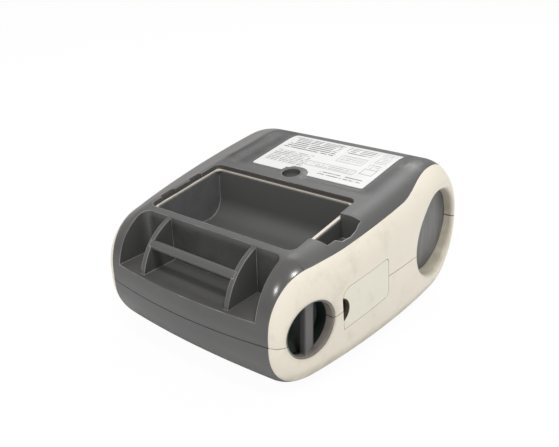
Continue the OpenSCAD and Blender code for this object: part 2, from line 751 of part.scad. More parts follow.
lid_win_y0 = 14;
lid_win_y1 = 36;
lid_win_x = 22;
module lid() {
    color(dark) difference() {
        union() {
            difference() {
                intersection() {
                    case_shell();
                    across(-lid_x, lid_x) lid_area();
                }
                for (s = [-1, 1]) rod_x(s > 0 ? knuckle_x : -far, s > 0 ? far : -knuckle_x,
                    hinge_y, hinge_z, hinge_r + gap);
            }
            rod_x(-knuckle_x, knuckle_x, hinge_y, hinge_z, hinge_r);
            for (s = [-1, 1]) across(s > 0 ? arm_x0 : -arm_x1, s > 0 ? arm_x1 : -arm_x0) {
                translate([platen_y, platen_z]) circle(5);
                translate([platen_y - 5, 1]) square([14, platen_z - 1]);
            }
        }
        rod_x(gear_x0 - 0.4, gear_x1 + 0.4, platen_y, platen_z, gear_r(platen_teeth) + gear_m + 0.3);
        for (s = [-1, 1]) rod_x(s * arm_x0 - 4, s * arm_x0 + 4, platen_y, platen_z, shaft_r + 1.45);
        rod_x(-far, far, hinge_y, hinge_z, pin_d / 2 + run_gap);
        rod_x(-6.3, 6.3, hinge_y, hinge_z, hinge_r + 1);
        translate([0, 0, -1]) linear_extrude(10) rounded(-lid_win_x, lid_win_y0, lid_win_x, lid_win_y1, 3);
        translate([0, 0, -1]) linear_extrude(2.8) rounded(-lid_win_x - 1.5, lid_win_y0 - 1.5,
            lid_win_x + 1.5, lid_win_y1 + 1.5, 3);
    }
}
module lid_window() {
    color([0.5, 0.55, 0.6, 0.5]) translate([0, 0, 0.4]) linear_extrude(1.36)
        rounded(-lid_win_x - 1.4, lid_win_y0 - 1.4, lid_win_x + 1.4, lid_win_y1 + 1.4, 3);
}
module lid_hinge_pin() {
    color(steel) rod_x(-knuckle_x - 5.8, knuckle_x + 5.8, hinge_y, hinge_z, pin_d / 2);
}
module lid_spring() {
    color(steel) tube_x(-6, 6, hinge_y, hinge_z, pin_d / 2 + 1.2, pin_d / 2 + 0.3);
}
module platen_roller() {
    color([0.08, 0.08, 0.08])
        tube_x(-platen_l / 2, platen_l / 2, platen_y, platen_z, platen_r, shaft_r + 0.01);
}
module platen_shaft() {
    color(steel) rod_x(-hook_x1 - 0.3, gear_x1, platen_y, platen_z, shaft_r);
}
module platen_bushes() {
    color([0.75, 0.65, 0.4]) for (s = [-1, 1])
        tube_x(s > 0 ? arm_x0 : -arm_x1, s > 0 ? arm_x1 : -arm_x0, platen_y, platen_z,
            shaft_r + 1.4, shaft_r + run_gap);
}
module platen_gear() {
    color([0.9, 0.9, 0.88])
        spur(gear_x0, gear_x1, platen_y, platen_z, platen_teeth, platen_turn, shaft_r + 0.01);
}
module idler_gear_a() {
    color([0.9, 0.9, 0.88])
        spur(gear_x0, gear_x1, idler_a_y, idler_a_z, idler_teeth, idler_a_turn, stud_r + run_gap);
}
module idler_gear_b() {
    color([0.9, 0.9, 0.88])
        spur(gear_x0, gear_x1, idler_b_y, idler_b_z, idler_teeth, idler_b_turn, stud_r + run_gap);
}
module motor_pinion() {
    color([0.8, 0.65, 0.35]) {
        spur(gear_x0, gear_x1, pinion_y, pinion_z, pinion_teeth, pinion_turn, 0.5);
        rod_x(motor_x1 - 6, gear_x1, pinion_y, pinion_z, 1);
    }
}
module feed_motor() {
    color([0.6, 0.6, 0.62]) difference() {
        rod_x(motor_x1 - motor_l, motor_x1, pinion_y, pinion_z, motor_d / 2);
        rod_x(motor_x1 - 6.1, motor_x1 + 1, pinion_y, pinion_z, 1 + run_gap);
    }
}
frame_rear_y = 7.5;
module print_frame() {
    color([0.7, 0.7, 0.72]) difference() {
        union() {
            // Side plates, the front wall, the roof with its screw boss, and the feet
            for (s = [-1, 1]) block(s > 0 ? plate_x0 : -plate_x1, wall_y0, frame_z0,
                s > 0 ? plate_x1 : -plate_x0, frame_rear_y, frame_top_z);
            block(plate_x0, idler_b_y - 4, idler_b_z - 4, plate_x1, wall_y0 + eps, frame_top_z);
            block(-plate_x1, wall_y0, 10, bracket_x1, wall_y1, frame_top_z);
            block(bracket_x0, pinion_y - 8.5, pinion_z - 8.5, bracket_x1, wall_y0 + eps, frame_top_z);
            block(-plate_x1, wall_y0, frame_top_z - 1.5, plate_x1, frame_rear_y, frame_top_z);
            // Ears that the screws in the battery bay go into
            for (s = [-1, 1]) translate([s * bay_screw_x, bay_screw_y, frame_top_z - 1.5]) {
                cylinder(r = 3, h = bay_boss_z - frame_top_z + 1.48);
                translate([-3, 0, 0]) cube([6, wall_y0 - bay_screw_y + eps, 1.5]);
            }
            translate([boss_x, boss_y, frame_top_z - 1]) cylinder(r = 3.6, h = boss_tube_z - frame_top_z + 0.98);
            for (s = [-1, 1]) block(s > 0 ? hook_x1 + 0.3 : -plate_x1, wall_y0, frame_z0,
                s > 0 ? plate_x1 : -hook_x1 - 0.3, -11.8, frame_z0 + 1.2);
            rod_x(gear_x0 - 0.4, plate_x1, idler_a_y, idler_a_z, stud_r);
            rod_x(gear_x0 - 0.4, plate_x1, idler_b_y, idler_b_z, stud_r);
            for (s = [-1, 1]) translate([s * spring_x, wall_y1 - eps, spring_z]) rotate([-90, 0, 0])
                cylinder(r = 1.1, h = 2.6);
        }
        translate([boss_x, boss_y, 30]) cylinder(r = screw_d / 2 + 0.02, h = 30);
        rod_x(-far, far, latch_y, latch_z, latch_rod_r + run_gap);
        block(release_x - 3, wall_y0 - 1, 18, release_x + 3, wall_y1 + 1, frame_top_z - 1.5);
        for (s = [-1, 1]) translate([s * bay_screw_x, bay_screw_y, 0])
            cylinder(r = screw_d / 2 + 0.02, h = 60);
        rod_x(bracket_x0 - 1, bracket_x1 + 1, pinion_y, pinion_z, 2);
        block(-16, wall_y0 - 1, 27, 16, wall_y1 + 1, frame_top_z - 1.5);
        for (p = foot_screw_places) translate([p[0], p[1], 0]) cylinder(r = 1.2, h = 8);
        block(-plate_x1 - 1, -8.8, 0, plate_x1 + 1, 20, 15);
        block(-arm_x1 - gap, -8.8, 0, arm_x1 + gap, 20, frame_top_z - 1.5);
    }
}
module print_head() {
    color([0.85, 0.84, 0.8]) block(-head_half, head_y0, 6, head_half, head_y1, head_top_z);
}
module head_heatsink() {
    color([0.8, 0.8, 0.82]) difference() {
        block(-head_half, sink_y0, 8, head_half, head_y0 - 0.02, head_top_z + 1.6);
        for (i = [0 : 3]) block(-far, sink_y0 - 1, 10 + i * 3.5, far, sink_y0 + 1.6, 11.6 + i * 3.5);
    }
}
module head_springs() {
    color(steel) for (s = [-1, 1]) translate([s * spring_x, wall_y1 + 0.05, spring_z]) rotate([-90, 0, 0])
        difference() {
            cylinder(r = 2, h = sink_y0 - wall_y1 - 0.1);
            translate([0, 0, -1]) cylinder(r = 1.3, h = 10);
        }
}
cable_z = 28;
module head_cable() {
    color([0.85, 0.6, 0.3]) across(-13, 13) {
        translate([head_y0 + 0.3, head_top_z]) square([0.3, cable_z - head_top_z]);
        translate([main_y1 - 1.8, cable_z - 0.3]) square([head_y0 + 0.6 - main_y1 + 1.8, 0.3]);
        translate([main_y1 - 1.8, main_z + 1.6]) square([0.3, cable_z - main_z - 1.6]);
    }
}
module tear_bar() {
    teeth = 48;
    pitch = 2 * head_half / teeth;
    color(steel) translate([0, tear_y + 0.02, 2.7]) mirror([0, 0, 1]) rotate([90, 0, 0])
        translate([0, 0, -0.5]) linear_extrude(0.5) polygon(concat([[-head_half, -2.4], [-head_half, 2.1]],
            [for (i = [0 : teeth - 1])
                each [[-head_half + (i + 0.5) * pitch, 1.3], [-head_half + (i + 1) * pitch, 2.1]]],
            [[head_half, -2.4]]));
}
hook_gap = 0.15;
module lid_latch() {
    color([0.2, 0.2, 0.22]) {
        rod_x(-plate_x1 + 0.2, plate_x1 - 0.2, latch_y, latch_z, latch_rod_r);
        for (s = [-1, 1]) across(s > 0 ? hook_x0 : -hook_x1, s > 0 ? hook_x1 : -hook_x0) difference() {
            union() {
                translate([latch_y, latch_z]) circle(2.6);
                polygon([[latch_y - 2.5, latch_z], [latch_y + 2.5, latch_z], [platen_y - 1.4, platen_z + 5],
                    [platen_y - shaft_r - 0.4, platen_z + 1],
                    [platen_y - shaft_r - 0.4, platen_z - shaft_r - hook_gap],
                    [platen_y + 0.6, platen_z - shaft_r - hook_gap],
                    [platen_y - 0.6, platen_z - shaft_r - 1.9],
                    [platen_y - 4.4, platen_z - shaft_r - 1.9], [platen_y - 5.4, platen_z]]);
            }
            translate([platen_y, platen_z]) circle(shaft_r + hook_gap);
        }
        block(release_x - 2, release_y - 1.6, latch_z - latch_rod_r,
            release_x + 2, latch_y, latch_z - 0.8);
    }
}
module latch_spring() {
    color(steel) tube_x(20, 25, latch_y, latch_z, latch_rod_r + 1.1, latch_rod_r + 0.3);
}
module release_button() {
    color([0.2, 0.2, 0.22]) translate([release_x, release_y, panel_low_z]) {
        cylinder(r = release_r, h = 3);
        translate([0, 0, 2.9]) cylinder(r = release_r + 0.8, h = 1);
        cylinder(r = 1.5, h = latch_z - latch_rod_r - 1.55 - panel_low_z);
        translate([0, 0, latch_z - latch_rod_r - 1.55 - panel_low_z]) sphere(1.5, $fn = 32);
    }
}
module press_button() {
    translate([0, button_y, panel_low_z]) {
        cylinder(r = button_d / 2, h = 2.4);
        translate([0, 0, 2.3]) cylinder(r = button_d / 2 + 0.9, h = 0.8);
    }
}
module feed_button() { color([0.3, 0.45, 0.65]) translate([button_x, 0, 0]) press_button(); }
module power_button() { color([0.7, 0.3, 0.25]) translate([-button_x, 0, 0]) press_button(); }
module display_window() {
    color([0.15, 0.2, 0.22]) translate([0, 0, panel_low_z]) linear_extrude(1.36)
        rounded(-display_l / 2, display_y - display_w / 2, display_l / 2, display_y + display_w / 2, 2);
}
module lcd_module() {
    color([0.5, 0.55, 0.45]) block(-display_l / 2 + 1, display_y - display_w / 2 + 0.5, wall + 0.2,
        display_l / 2 - 1, display_y + display_w / 2 - 0.5, board_z - 0.02);
}
module panel_board() {
    color([0.1, 0.35, 0.2]) block(-40, -46, board_z, 29, -28, board_z + 1.2);
    color([0.1, 0.35, 0.2]) block(28.9, -43, board_z, 40, -28, board_z + 1.2);
}
module tact_switches() {
    color([0.15, 0.15, 0.16]) for (s = [-1, 1]) {
        block(s * button_x - 3, button_y - 3, 5.6, s * button_x + 3, button_y + 3, board_z - 0.02);
        translate([s * button_x, button_y, 4.2]) cylinder(r = 1.7, h = 1.5);
    }
}
module main_board() {
    color([0.1, 0.35, 0.2]) difference() {
        block(main_x0, main_y0, main_z, main_x1, main_y1, main_z + 1.48);
        for (p = board_screw_places) translate([p[0], p[1], 0]) cylinder(r = 1.1, h = 60);
    }
}
module board_chips() {
    color([0.1, 0.1, 0.11]) {
        block(-27, -43, main_z + 1.5, -15, -31, main_z + 2.9);
        block(-8, -42, main_z + 1.5, 2, -34, main_z + 2.7);
        block(-13.5, main_y1 - 4.6, main_z + 1.5, 13.5, main_y1 - 1.82, main_z + 3.6);
    }
    color(steel) for (i = [0 : 2]) translate([-31, -44 + i * 6, main_z + 1.5]) cylinder(r = 2, h = 5);
}
module radio_module() {
    color([0.75, 0.75, 0.77]) block(-12, -45, main_z - 2.2, 2, -34, main_z - 0.02);
}
module board_screws() {
    color(steel) for (p = board_screw_places) translate([p[0], p[1], 0]) {
        translate([0, 0, main_z - 1.4]) cylinder(r = 1.9, h = 1.38);
        translate([0, 0, main_z - 0.1]) cylinder(r = 0.9, h = 5.5);
    }
    color(steel) for (p = foot_screw_places) translate([p[0], p[1], 0]) {
        translate([0, 0, frame_z0 + 1.22]) cylinder(r = 1.8, h = 1.2);
        translate([0, 0, 1.4]) cylinder(r = 1, h = frame_z0);
    }
}

// Curved tray behind the label roll, with slots for the arms of the guides
tray_out = tray_r + tray_t;
module media_tray() {
    color([0.25, 0.25, 0.27]) difference() {
        union() {
            tube_x(-43, 43, rear_y, rear_r, tray_out, tray_r);
            intersection() {
                body_form(wall + 0.1);
                block(-far, rear_y - 12, 0, far, far, far);
                for (x = [-19, 19]) tube_x(x - 0.8, x + 0.8, rear_y, rear_r, rear_r, tray_out - 0.2);
            }
        }
        block(-far, -far, -far, far, far, 22);
        for (s = [-1, 1]) block(s > 0 ? guide_x - guide_travel - 3 : -guide_x - 1, rack_y - 7.5,
            rear_r + 6, s > 0 ? guide_x + 1 : -guide_x + guide_travel + 3, rear_y - 4, far);
    }
}
// Straight rack whose gaps face the teeth of the pinion at its middle
rack_profile = [[-0.3, -0.55], [-0.18, 0.1], [-0.1, 0.4], [0.1, 0.4], [0.18, 0.1], [0.3, -0.55]];
function rack_outline(x0, x1) = let (p = rack_m * PI)
    concat([[x0, -2.6], [x0, -0.55]],
    [for (i = [floor(x0 / p) + 1 : floor(x1 / p) - 1]) for (q = rack_profile) [(i + 0.5 + q[0]) * p, q[1]]],
    [[x1, -0.55], [x1, -2.6]]);
module guide(s) {
    color([0.3, 0.5, 0.35]) {
        // Round plate with a hub for the core, its arm, and the rack that meets the pinion
        x0 = s > 0 ? guide_x - guide_t : -guide_x;
        rod_x(x0, x0 + guide_t, rear_y, rear_r, 22);
        rod_x(s > 0 ? guide_x - guide_t - 4 : -guide_x, s > 0 ? guide_x : -guide_x + guide_t + 4,
            rear_y, rear_r, 6);
        arm_y0 = s > 0 ? rack_y - rack_r - 2.6 : rack_y + rack_r + 0.6;
        across(x0, x0 + guide_t) polygon([[arm_y0, rack_z1], [arm_y0 + 2, rack_z1], [rear_y - 8, rear_r + 18],
            [rear_y - 17, rear_r + 10]]);
        translate([0, 0, rack_z0]) linear_extrude(rack_z1 - rack_z0)
            if (s > 0) translate([0, rack_y - rack_r - rack_play]) polygon(rack_outline(-8, guide_x));
            else translate([0, rack_y + rack_r + rack_play]) mirror([0, 1]) polygon(rack_outline(-guide_x, 8));
    }
}
module guide_left() { guide(-1); }
module guide_right() { guide(1); }
module guide_pinion() {
    color([0.9, 0.9, 0.88]) translate([0, rack_y, rack_z0]) rotate(90) {
        linear_extrude(rack_z1 - rack_z0) polygon(tooth_points(rack_teeth, rack_m));
        cylinder(r = 1.5, h = 3);
    }
}
module gap_sensor() {
    color([0.12, 0.12, 0.13]) block(-6, head_y1 + 8.5, 18, 6, head_y1 + 14, frame_top_z - 1.52);
}

rear_case();
front_case();
right_band_rear();
right_band_front();
left_band_rear();
left_band_front();
clip_bar();
battery_tub();
bay_seal();
contact_block();
battery_contacts();
rating_label();
case_screws();
strap_eye_right();
strap_eye_left();
strap_cup_right();
strap_cup_left();
roll_window_right();
roll_window_left();
port_door();
port_board();
usb_socket();
dc_jack();
lid();
lid_window();
lid_hinge_pin();
lid_spring();
platen_roller();
platen_shaft();
platen_bushes();
platen_gear();
idler_gear_a();
idler_gear_b();
motor_pinion();
feed_motor();
print_frame();
print_head();
head_heatsink();
head_springs();
head_cable();
tear_bar();
lid_latch();
latch_spring();
release_button();
feed_button();
power_button();
display_window();
lcd_module();
panel_board();
tact_switches();
main_board();
board_chips();
radio_module();
board_screws();
media_tray();
guide_left();
guide_right();
guide_pinion();
gap_sensor();
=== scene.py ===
import json
import math
import bpy
import numpy as np
from mathutils import Matrix

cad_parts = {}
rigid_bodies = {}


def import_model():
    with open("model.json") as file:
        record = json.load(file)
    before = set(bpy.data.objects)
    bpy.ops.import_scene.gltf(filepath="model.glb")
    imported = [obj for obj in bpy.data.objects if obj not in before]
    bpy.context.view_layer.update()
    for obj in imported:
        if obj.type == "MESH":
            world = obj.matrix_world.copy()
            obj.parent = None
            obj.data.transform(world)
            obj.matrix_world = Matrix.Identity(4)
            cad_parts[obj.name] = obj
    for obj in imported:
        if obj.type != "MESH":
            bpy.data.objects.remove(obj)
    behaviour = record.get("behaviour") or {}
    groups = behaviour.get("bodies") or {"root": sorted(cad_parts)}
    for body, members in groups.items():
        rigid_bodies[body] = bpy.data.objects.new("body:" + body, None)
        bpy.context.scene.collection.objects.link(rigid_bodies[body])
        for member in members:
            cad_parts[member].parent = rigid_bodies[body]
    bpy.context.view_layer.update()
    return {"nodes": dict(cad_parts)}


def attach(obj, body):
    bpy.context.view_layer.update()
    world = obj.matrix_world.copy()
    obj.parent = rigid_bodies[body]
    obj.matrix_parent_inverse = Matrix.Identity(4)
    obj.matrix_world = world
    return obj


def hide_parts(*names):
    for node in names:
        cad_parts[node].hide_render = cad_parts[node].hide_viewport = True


for spare in list(bpy.data.objects):
    bpy.data.objects.remove(spare)
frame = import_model()
nodes = frame["nodes"]

# Camera.
# It stands in front of the nose, to the right and a little above the case, where the picture was
# taken from, and is turned by an azimuth, an elevation and a slight roll.
camera_place = (0.17172, -0.21863, 0.16372)
azimuth, elevation, roll = (math.radians(degrees) for degrees in (39.014, 24.189, -1.282))
back = np.array([math.sin(azimuth) * math.cos(elevation), -math.cos(azimuth) * math.cos(elevation),
                 math.sin(elevation)])
right = np.array([math.cos(azimuth), math.sin(azimuth), 0.0])
up = np.cross(back, right)


def stand(thing, right, up, back, place):
    """Stands a camera or a lamp at a place with its x, y and z axes along three directions. It looks the
    opposite way of the third."""
    placing = Matrix.Identity(4)
    for row in range(3):
        placing[row][0], placing[row][1], placing[row][2] = right[row], up[row], back[row]
        placing[row][3] = place[row]
    thing.matrix_world = placing


camera = bpy.data.objects.new("camera", bpy.data.cameras.new("camera"))
bpy.context.scene.collection.objects.link(camera)
camera.data.sensor_width = 36.0
camera.data.lens = 41.814
camera.data.clip_start = 0.01
camera.data.clip_end = 20.0
stand(camera, math.cos(roll) * right + math.sin(roll) * up, -math.sin(roll) * right + math.cos(roll) * up,
      back, camera_place)
bpy.context.scene.camera = camera

# Case form.
# Both case halves, the side bands, the lid and the door are parts of one rounded shell, so
# one surface gives them all. Sizes are in millimetres here and become metres in the mesh.
half_width, half_length, wall = 59.0, 72.5, 2.6
rear_r, nose_top_r, nose_low_r = 33.8, 25.5, 24.3
edge_r, nose_edge_r = 14.7, 4.9
under_tilt = math.radians(8.3)
rear_y, nose_y = half_length - rear_r, -half_length
nose_top_y, nose_low_y = nose_y + nose_top_r, nose_y + nose_low_r
under_z0 = rear_r * (1 + 1 / math.cos(under_tilt)) - rear_y * math.tan(under_tilt)
nose_top_z = under_z0 + nose_top_y * math.tan(under_tilt) - nose_top_r / math.cos(under_tilt)
rear_touch_y = rear_y - rear_r * math.sin(under_tilt)
nose_touch_y = nose_top_y - nose_top_r * math.sin(under_tilt)
side_fall, widest_y = 0.0013, 16
nose_bow, nose_bow_start, nose_bow_run = 3.6, 34, 38
rear_bow, rear_bow_start, rear_bow_run = 1.8, 26, 46
bow_half_width = 45


def under_z(y):
    """Height of the slanted underside plane at a place along the case."""
    return under_z0 + y * math.tan(under_tilt)


def side_x(y):
    """Half width: widest near the middle, less the square of the distance from there times side_fall."""
    return half_width - side_fall * (y - widest_y) ** 2


def smooth(t):
    """Rises from 0 to 1 with level ends: three t squared less two t cubed."""
    t = np.clip(t, 0, 1)
    return t * t * (3 - 2 * t)


def bow(x, y):
    """Moves the nose back and the roll end forward with the square of x, so both stand proud in the middle.
    Each pull also grows with the square of the distance past the place where it starts."""
    at_nose = nose_bow * (np.maximum(0, -y - nose_bow_start) / nose_bow_run) ** 2
    at_rear = rear_bow * (np.maximum(0, y - rear_bow_start) / rear_bow_run) ** 2
    return y + (at_nose - at_rear) * (x / bow_half_width) ** 2


def rim_profile(y, top):
    """One edge of the side outline: height, outward normal and edge rounding at each place y. The roll end
    and the nose are circle arcs; between them the top is the slanted plane and the bottom is level."""
    ny, nz = np.zeros_like(y), np.ones_like(y)
    r = np.full_like(y, edge_r)
    if top:
        a = np.arccos(np.clip((y - rear_y) / rear_r, -1, 1))
        b = np.arccos(np.clip((y - nose_top_y) / nose_top_r, -1, 1))
        rear, nose = y >= rear_touch_y, y <= nose_touch_y
        z = np.where(rear, rear_r + rear_r * np.sin(a), under_z(y))
        z = np.where(nose, nose_top_z + nose_top_r * np.sin(b), z)
        ny = np.where(rear, np.cos(a), np.where(nose, np.cos(b), -math.sin(under_tilt)))
        nz = np.where(rear, np.sin(a), np.where(nose, np.sin(b), math.cos(under_tilt)))
    else:
        a = np.arccos(np.clip((y - rear_y) / rear_r, -1, 1))
        b = np.arccos(np.clip((y - nose_low_y) / nose_low_r, -1, 1))
        rear, nose = y >= rear_y, y <= nose_low_y
        z = np.where(rear, rear_r - rear_r * np.sin(a), 0.0)
        z = np.where(nose, nose_low_r - nose_low_r * np.sin(b), z)
        ny = np.where(rear, np.cos(a), np.where(nose, np.cos(b), 0.0))
        nz = np.where(rear, -np.sin(a), np.where(nose, -np.sin(b), -1.0))
    r = np.where(nose, edge_r + (nose_edge_r - edge_r) * smooth((np.degrees(b) - 90) / 90), r)
    return np.stack([y, z, ny, nz, r], -1)


# Steps of the grid round each end, along the flats, round the long edges and across the case.
arc, flat, fillet, across = 30, 44, 16, 54
places = np.concatenate([
    half_length - rear_r * (1 - np.cos(np.pi / 2 * np.arange(arc) / arc)),
    rear_y + (nose_top_y - rear_y) * np.arange(flat + 1) / flat,
    nose_top_y - nose_top_r * np.sin(np.pi / 2 * np.arange(1, arc + 1) / arc)])
outline = np.concatenate([rim_profile(places, True), rim_profile(places[:0:-1], False)])

boss_x, boss_y, ring_r, ring_rise = -0.8, 3.6, 6.6, 1.1
dish_left, dish_right, dish_near, dish_far = -39.5, 43.5, 0.2, 47.9
dish_depth, side_rise, near_rise, far_rise = 0.9, 7.5, 3.2, 2.6


def dish(x, y):
    """Depth of the soft-edged tray for the label: a flat floor whose sides rise over a few millimetres,
    less a raised ring round the screw hole."""
    sides = smooth((x - dish_left) / side_rise) * smooth((dish_right - x) / side_rise)
    ends = smooth((y - dish_near) / near_rise) * smooth((dish_far - y) / far_rise)
    ring = smooth((np.hypot(x - boss_x, y - boss_y) - ring_r) / ring_rise)
    return dish_depth * sides * ends * ring


def case_grid(inset, with_dish):
    """Points of the case surface on a grid of stations and outline places. A station is a flat share across
    the case or an angle round the long edge: going round the edge, the point sinks from the outline by the
    rounding times one less the cosine, and moves out by the rounding times the sine."""
    turn = np.pi / 2 * np.arange(1, fillet + 1) / fillet
    share = np.concatenate([-np.ones(fillet), np.linspace(-1, 1, across + 1), np.ones(fillet)])
    angle = np.concatenate([turn[::-1], np.zeros(across + 1), turn])
    y, z, ny, nz, r = (outline[None, :, k] for k in range(5))
    s, a = share[:, None], angle[:, None]
    sink = r - (r - inset) * np.cos(a)
    qy, qz = y - ny * sink, z - nz * sink
    x = s * (side_x(qy) - r + (r - inset) * np.sin(a))
    if with_dish:
        d = dish(x, qy) * (nz > 0.5)
        qy, qz = qy - ny * d, qz - nz * d
    return np.stack([x, bow(x, qy), np.broadcast_to(qz, x.shape)], -1)


def mesh_object(name, points, faces):
    """A mesh object from points in millimetres and faces as index lists."""
    mesh = bpy.data.meshes.new(name)
    mesh.from_pydata((np.asarray(points, float) / 1000).tolist(), [], faces)
    mesh.validate()
    thing = bpy.data.objects.new(name, mesh)
    bpy.context.scene.collection.objects.link(thing)
    return thing


def case_solid(inset=0.0, with_dish=False):
    """The closed case: its grid is rolled up along the outline, and each side is closed by strips that join
    the top edge to the bottom edge at the same place. The first strip is a triangle."""
    grid = case_grid(inset, with_dish)
    k, m = grid.shape[:2]
    i, j = np.meshgrid(np.arange(k - 1), np.arange(m), indexing="ij")
    a, b = i * m + j, i * m + (j + 1) % m
    faces = np.stack([a, b, b + m, a + m], -1).reshape(-1, 4).tolist()
    j = np.arange(len(places) - 1)
    for end in (0, k - 1):
        o = end * m
        strip = np.stack([o + j, o + j + 1, o + (m - j - 1) % m, o + (m - j) % m], -1).tolist()
        strip[0] = strip[0][:3]
        faces += [f[::-1] if end == 0 else f for f in strip]
    return mesh_object("form", grid.reshape(-1, 3), faces)


def prism(ring, low, high, along="z"):
    """A straight bar whose cross-section is the closed ring of points. It runs along z, along x with the
    ring in y and z, or square to the slanted underside, with heights counted from that plane. Where a bar
    cuts, its open end lies anywhere past the case, at a round number such as 160."""
    ring = np.asarray(ring, float)
    n = len(ring)
    area = np.sum(ring[:, 0] * np.roll(ring[:, 1], -1) - np.roll(ring[:, 0], -1) * ring[:, 1])
    if area < 0:
        ring = ring[::-1]
    flat_ring = np.concatenate([np.column_stack([ring, np.full(n, h)]) for h in (low, high)])
    if along == "x":
        points = flat_ring[:, [2, 0, 1]]
    elif along == "slant":
        c, s = math.cos(under_tilt), math.sin(under_tilt)
        x, y, z = flat_ring.T
        points = np.column_stack([x, y * c - z * s, under_z0 + y * s + z * c])
    else:
        points = flat_ring
    k = np.arange(n)
    walls = np.stack([k, (k + 1) % n, n + (k + 1) % n, n + k], -1).tolist()
    return mesh_object("bar", points, walls + [list(range(n))[::-1], list(range(n, 2 * n))])


def box_ring(x0, y0, x1, y1, r=0.0, steps=8):
    """A rectangle with rounded corners: each corner is a quarter circle. r is one radius or four, starting
    at the high x and high y corner and going round against the clock."""
    radii = np.broadcast_to(np.asarray(r, float), (4,))
    corners = [(x1, y1, 0), (x0, y1, 90), (x0, y0, 180), (x1, y0, 270)]
    points = []
    for (x, y, start), radius in zip(corners, radii):
        sx, sy = (1 if x == x1 else -1), (1 if y == y1 else -1)
        a = np.radians(start + np.linspace(0, 90, steps + 1)) if radius > 0 else np.zeros(1)
        c = np.array([x - sx * radius, y - sy * radius])
        points.append(c + radius * np.column_stack([np.cos(a), np.sin(a)]))
    return np.concatenate(points)


def circle_ring(x, y, r, steps=96):
    """A full circle of points."""
    a = 2 * np.pi * np.arange(steps) / steps
    return np.column_stack([x + r * np.cos(a), y + r * np.sin(a)])


def span(side, near, far):
    """A stretch of x on the right for side 1 or on the left for side -1, low end first."""
    return sorted((side * near, side * far))


def combine(first, *others, how="DIFFERENCE"):
    """Cuts the other solids from the first, joins them to it or keeps the overlap, and removes them."""
    for other in others:
        step = first.modifiers.new("step", "BOOLEAN")
        step.operation, step.solver, step.object = how, "MANIFOLD", other
        ready = bpy.context.evaluated_depsgraph_get()
        shaped = bpy.data.meshes.new_from_object(first.evaluated_get(ready))
        first.modifiers.clear()
        old, first.data = first.data, shaped
        bpy.data.meshes.remove(old)
        bpy.data.objects.remove(other)
    return first


def copy_of(thing):
    """A second object with its own copy of the mesh."""
    other = bpy.data.objects.new(thing.name, thing.data.copy())
    bpy.context.scene.collection.objects.link(other)
    return other


# The parting line rises evenly from the nose, is level for a while and rises again behind the roll
# window, between these places and heights. seam and band_seam are half the width of the thin shadow
# gaps where case parts meet; the parting gap is wide_gap times wider behind the window.
seam_ys, seam_zs = (nose_y, -8, 17, 57.4), (25.2, 33.0, 33.0, 36.4)
seam, band_seam, wide_gap, wide_gap_y = 0.17, 0.08, 1.9, 50
band_inset, roll_inset, nose_inset = 4.6, 3.4, 1.2


def part_z(y):
    """Height of the parting line, by straight pieces."""
    return np.interp(y, seam_ys, seam_zs)


def band_x(y):
    """Plan line between the dark case and a side band: a little inside the side, more beside the roll and
    at the nose, with a smooth step to each."""
    return side_x(y) - band_inset - roll_inset * smooth((y - 8) / 26) - nose_inset * smooth((-30 - y) / 30)


def parting_block(below, shift=0.0):
    """All the space on one side of the parting line, moved by a shift that is larger behind the window."""
    far = -100 if below else 160
    ring = [(y, part_z(y) + shift * (wide_gap if y > wide_gap_y else 1.0)) for y in (-120, *seam_ys, 120)]
    return prism(ring + [(120, far), (-120, far)], -130, 130, "x")


def middle_block(shift=0.0):
    """The plan area between the two side bands."""
    y = np.linspace(-80, 80, 81)
    x = band_x(y) + shift
    return prism(np.concatenate([np.column_stack([x, y]), np.column_stack([-x, y])[::-1]]), -100, 160)


outer = case_solid(0.0, True)
shell = combine(copy_of(outer), case_solid(wall))


def dish_slope(x, y, step=0.05):
    """Slope of the dish depth along x and along the underside, from its change over a small step."""
    return ((dish(x + step, y) - dish(x - step, y)) / (2 * step),
            (dish(x, y + step) - dish(x, y - step)) / (2 * step))


def surface_normal(points):
    """Outward normal and depth below the case surface at any point near it. The nearest outline place gives
    the depth t and the outline normal; past the start of the edge rounding the normal turns from the outline
    normal towards the side by the angle whose sine is how far the point has moved out."""
    x, z = points[:, 0], points[:, 2]
    y = points[:, 1].copy()
    for _ in range(3):
        y -= bow(x, y) - points[:, 1]
    fine_places = np.sort(np.concatenate([
        half_length - rear_r * (1 - np.cos(np.linspace(0, np.pi / 2, 300))),
        np.linspace(nose_top_y, rear_y, 500),
        nose_top_y - nose_top_r * np.sin(np.linspace(0, np.pi / 2, 300))]))
    dense = np.concatenate([rim_profile(fine_places, top) for top in (True, False)])
    nearest = np.concatenate([
        np.argmin((y[c, None] - dense[None, :, 0]) ** 2 + (z[c, None] - dense[None, :, 1]) ** 2, 1)
        for c in np.array_split(np.arange(len(y)), max(1, len(y) // 2000))])
    line = dense[nearest]
    t = (line[:, 0] - y) * line[:, 2] + (line[:, 1] - z) * line[:, 3]
    r = line[:, 4]
    tx, ty = dish_slope(x, y)
    up_face = line[:, 3] > 0.5
    out = np.abs(x) - (side_x(y) - r)
    sine = np.clip(out / r, 0, 1)
    rounding = np.hypot(np.maximum(out, 0), np.maximum(r - t, 0))
    depth = np.where(t >= r, r - out, np.where(out > 0, r - rounding, t - dish(x, y) * up_face))
    cosine = np.where(t >= r, 0, np.sqrt(1 - sine ** 2))
    sine = np.where(t >= r, 1, sine)
    lean = 2 * side_fall * (y - widest_y)
    side_len = np.sqrt(1 + lean ** 2)
    nx = np.sign(x) * sine / side_len + tx * up_face * cosine
    ny = line[:, 2] * cosine + sine * lean / side_len + ty * up_face * cosine
    nz = line[:, 3] * cosine
    normal = np.column_stack([nx, ny, nz])
    return depth, normal / np.linalg.norm(normal, axis=1)[:, None]


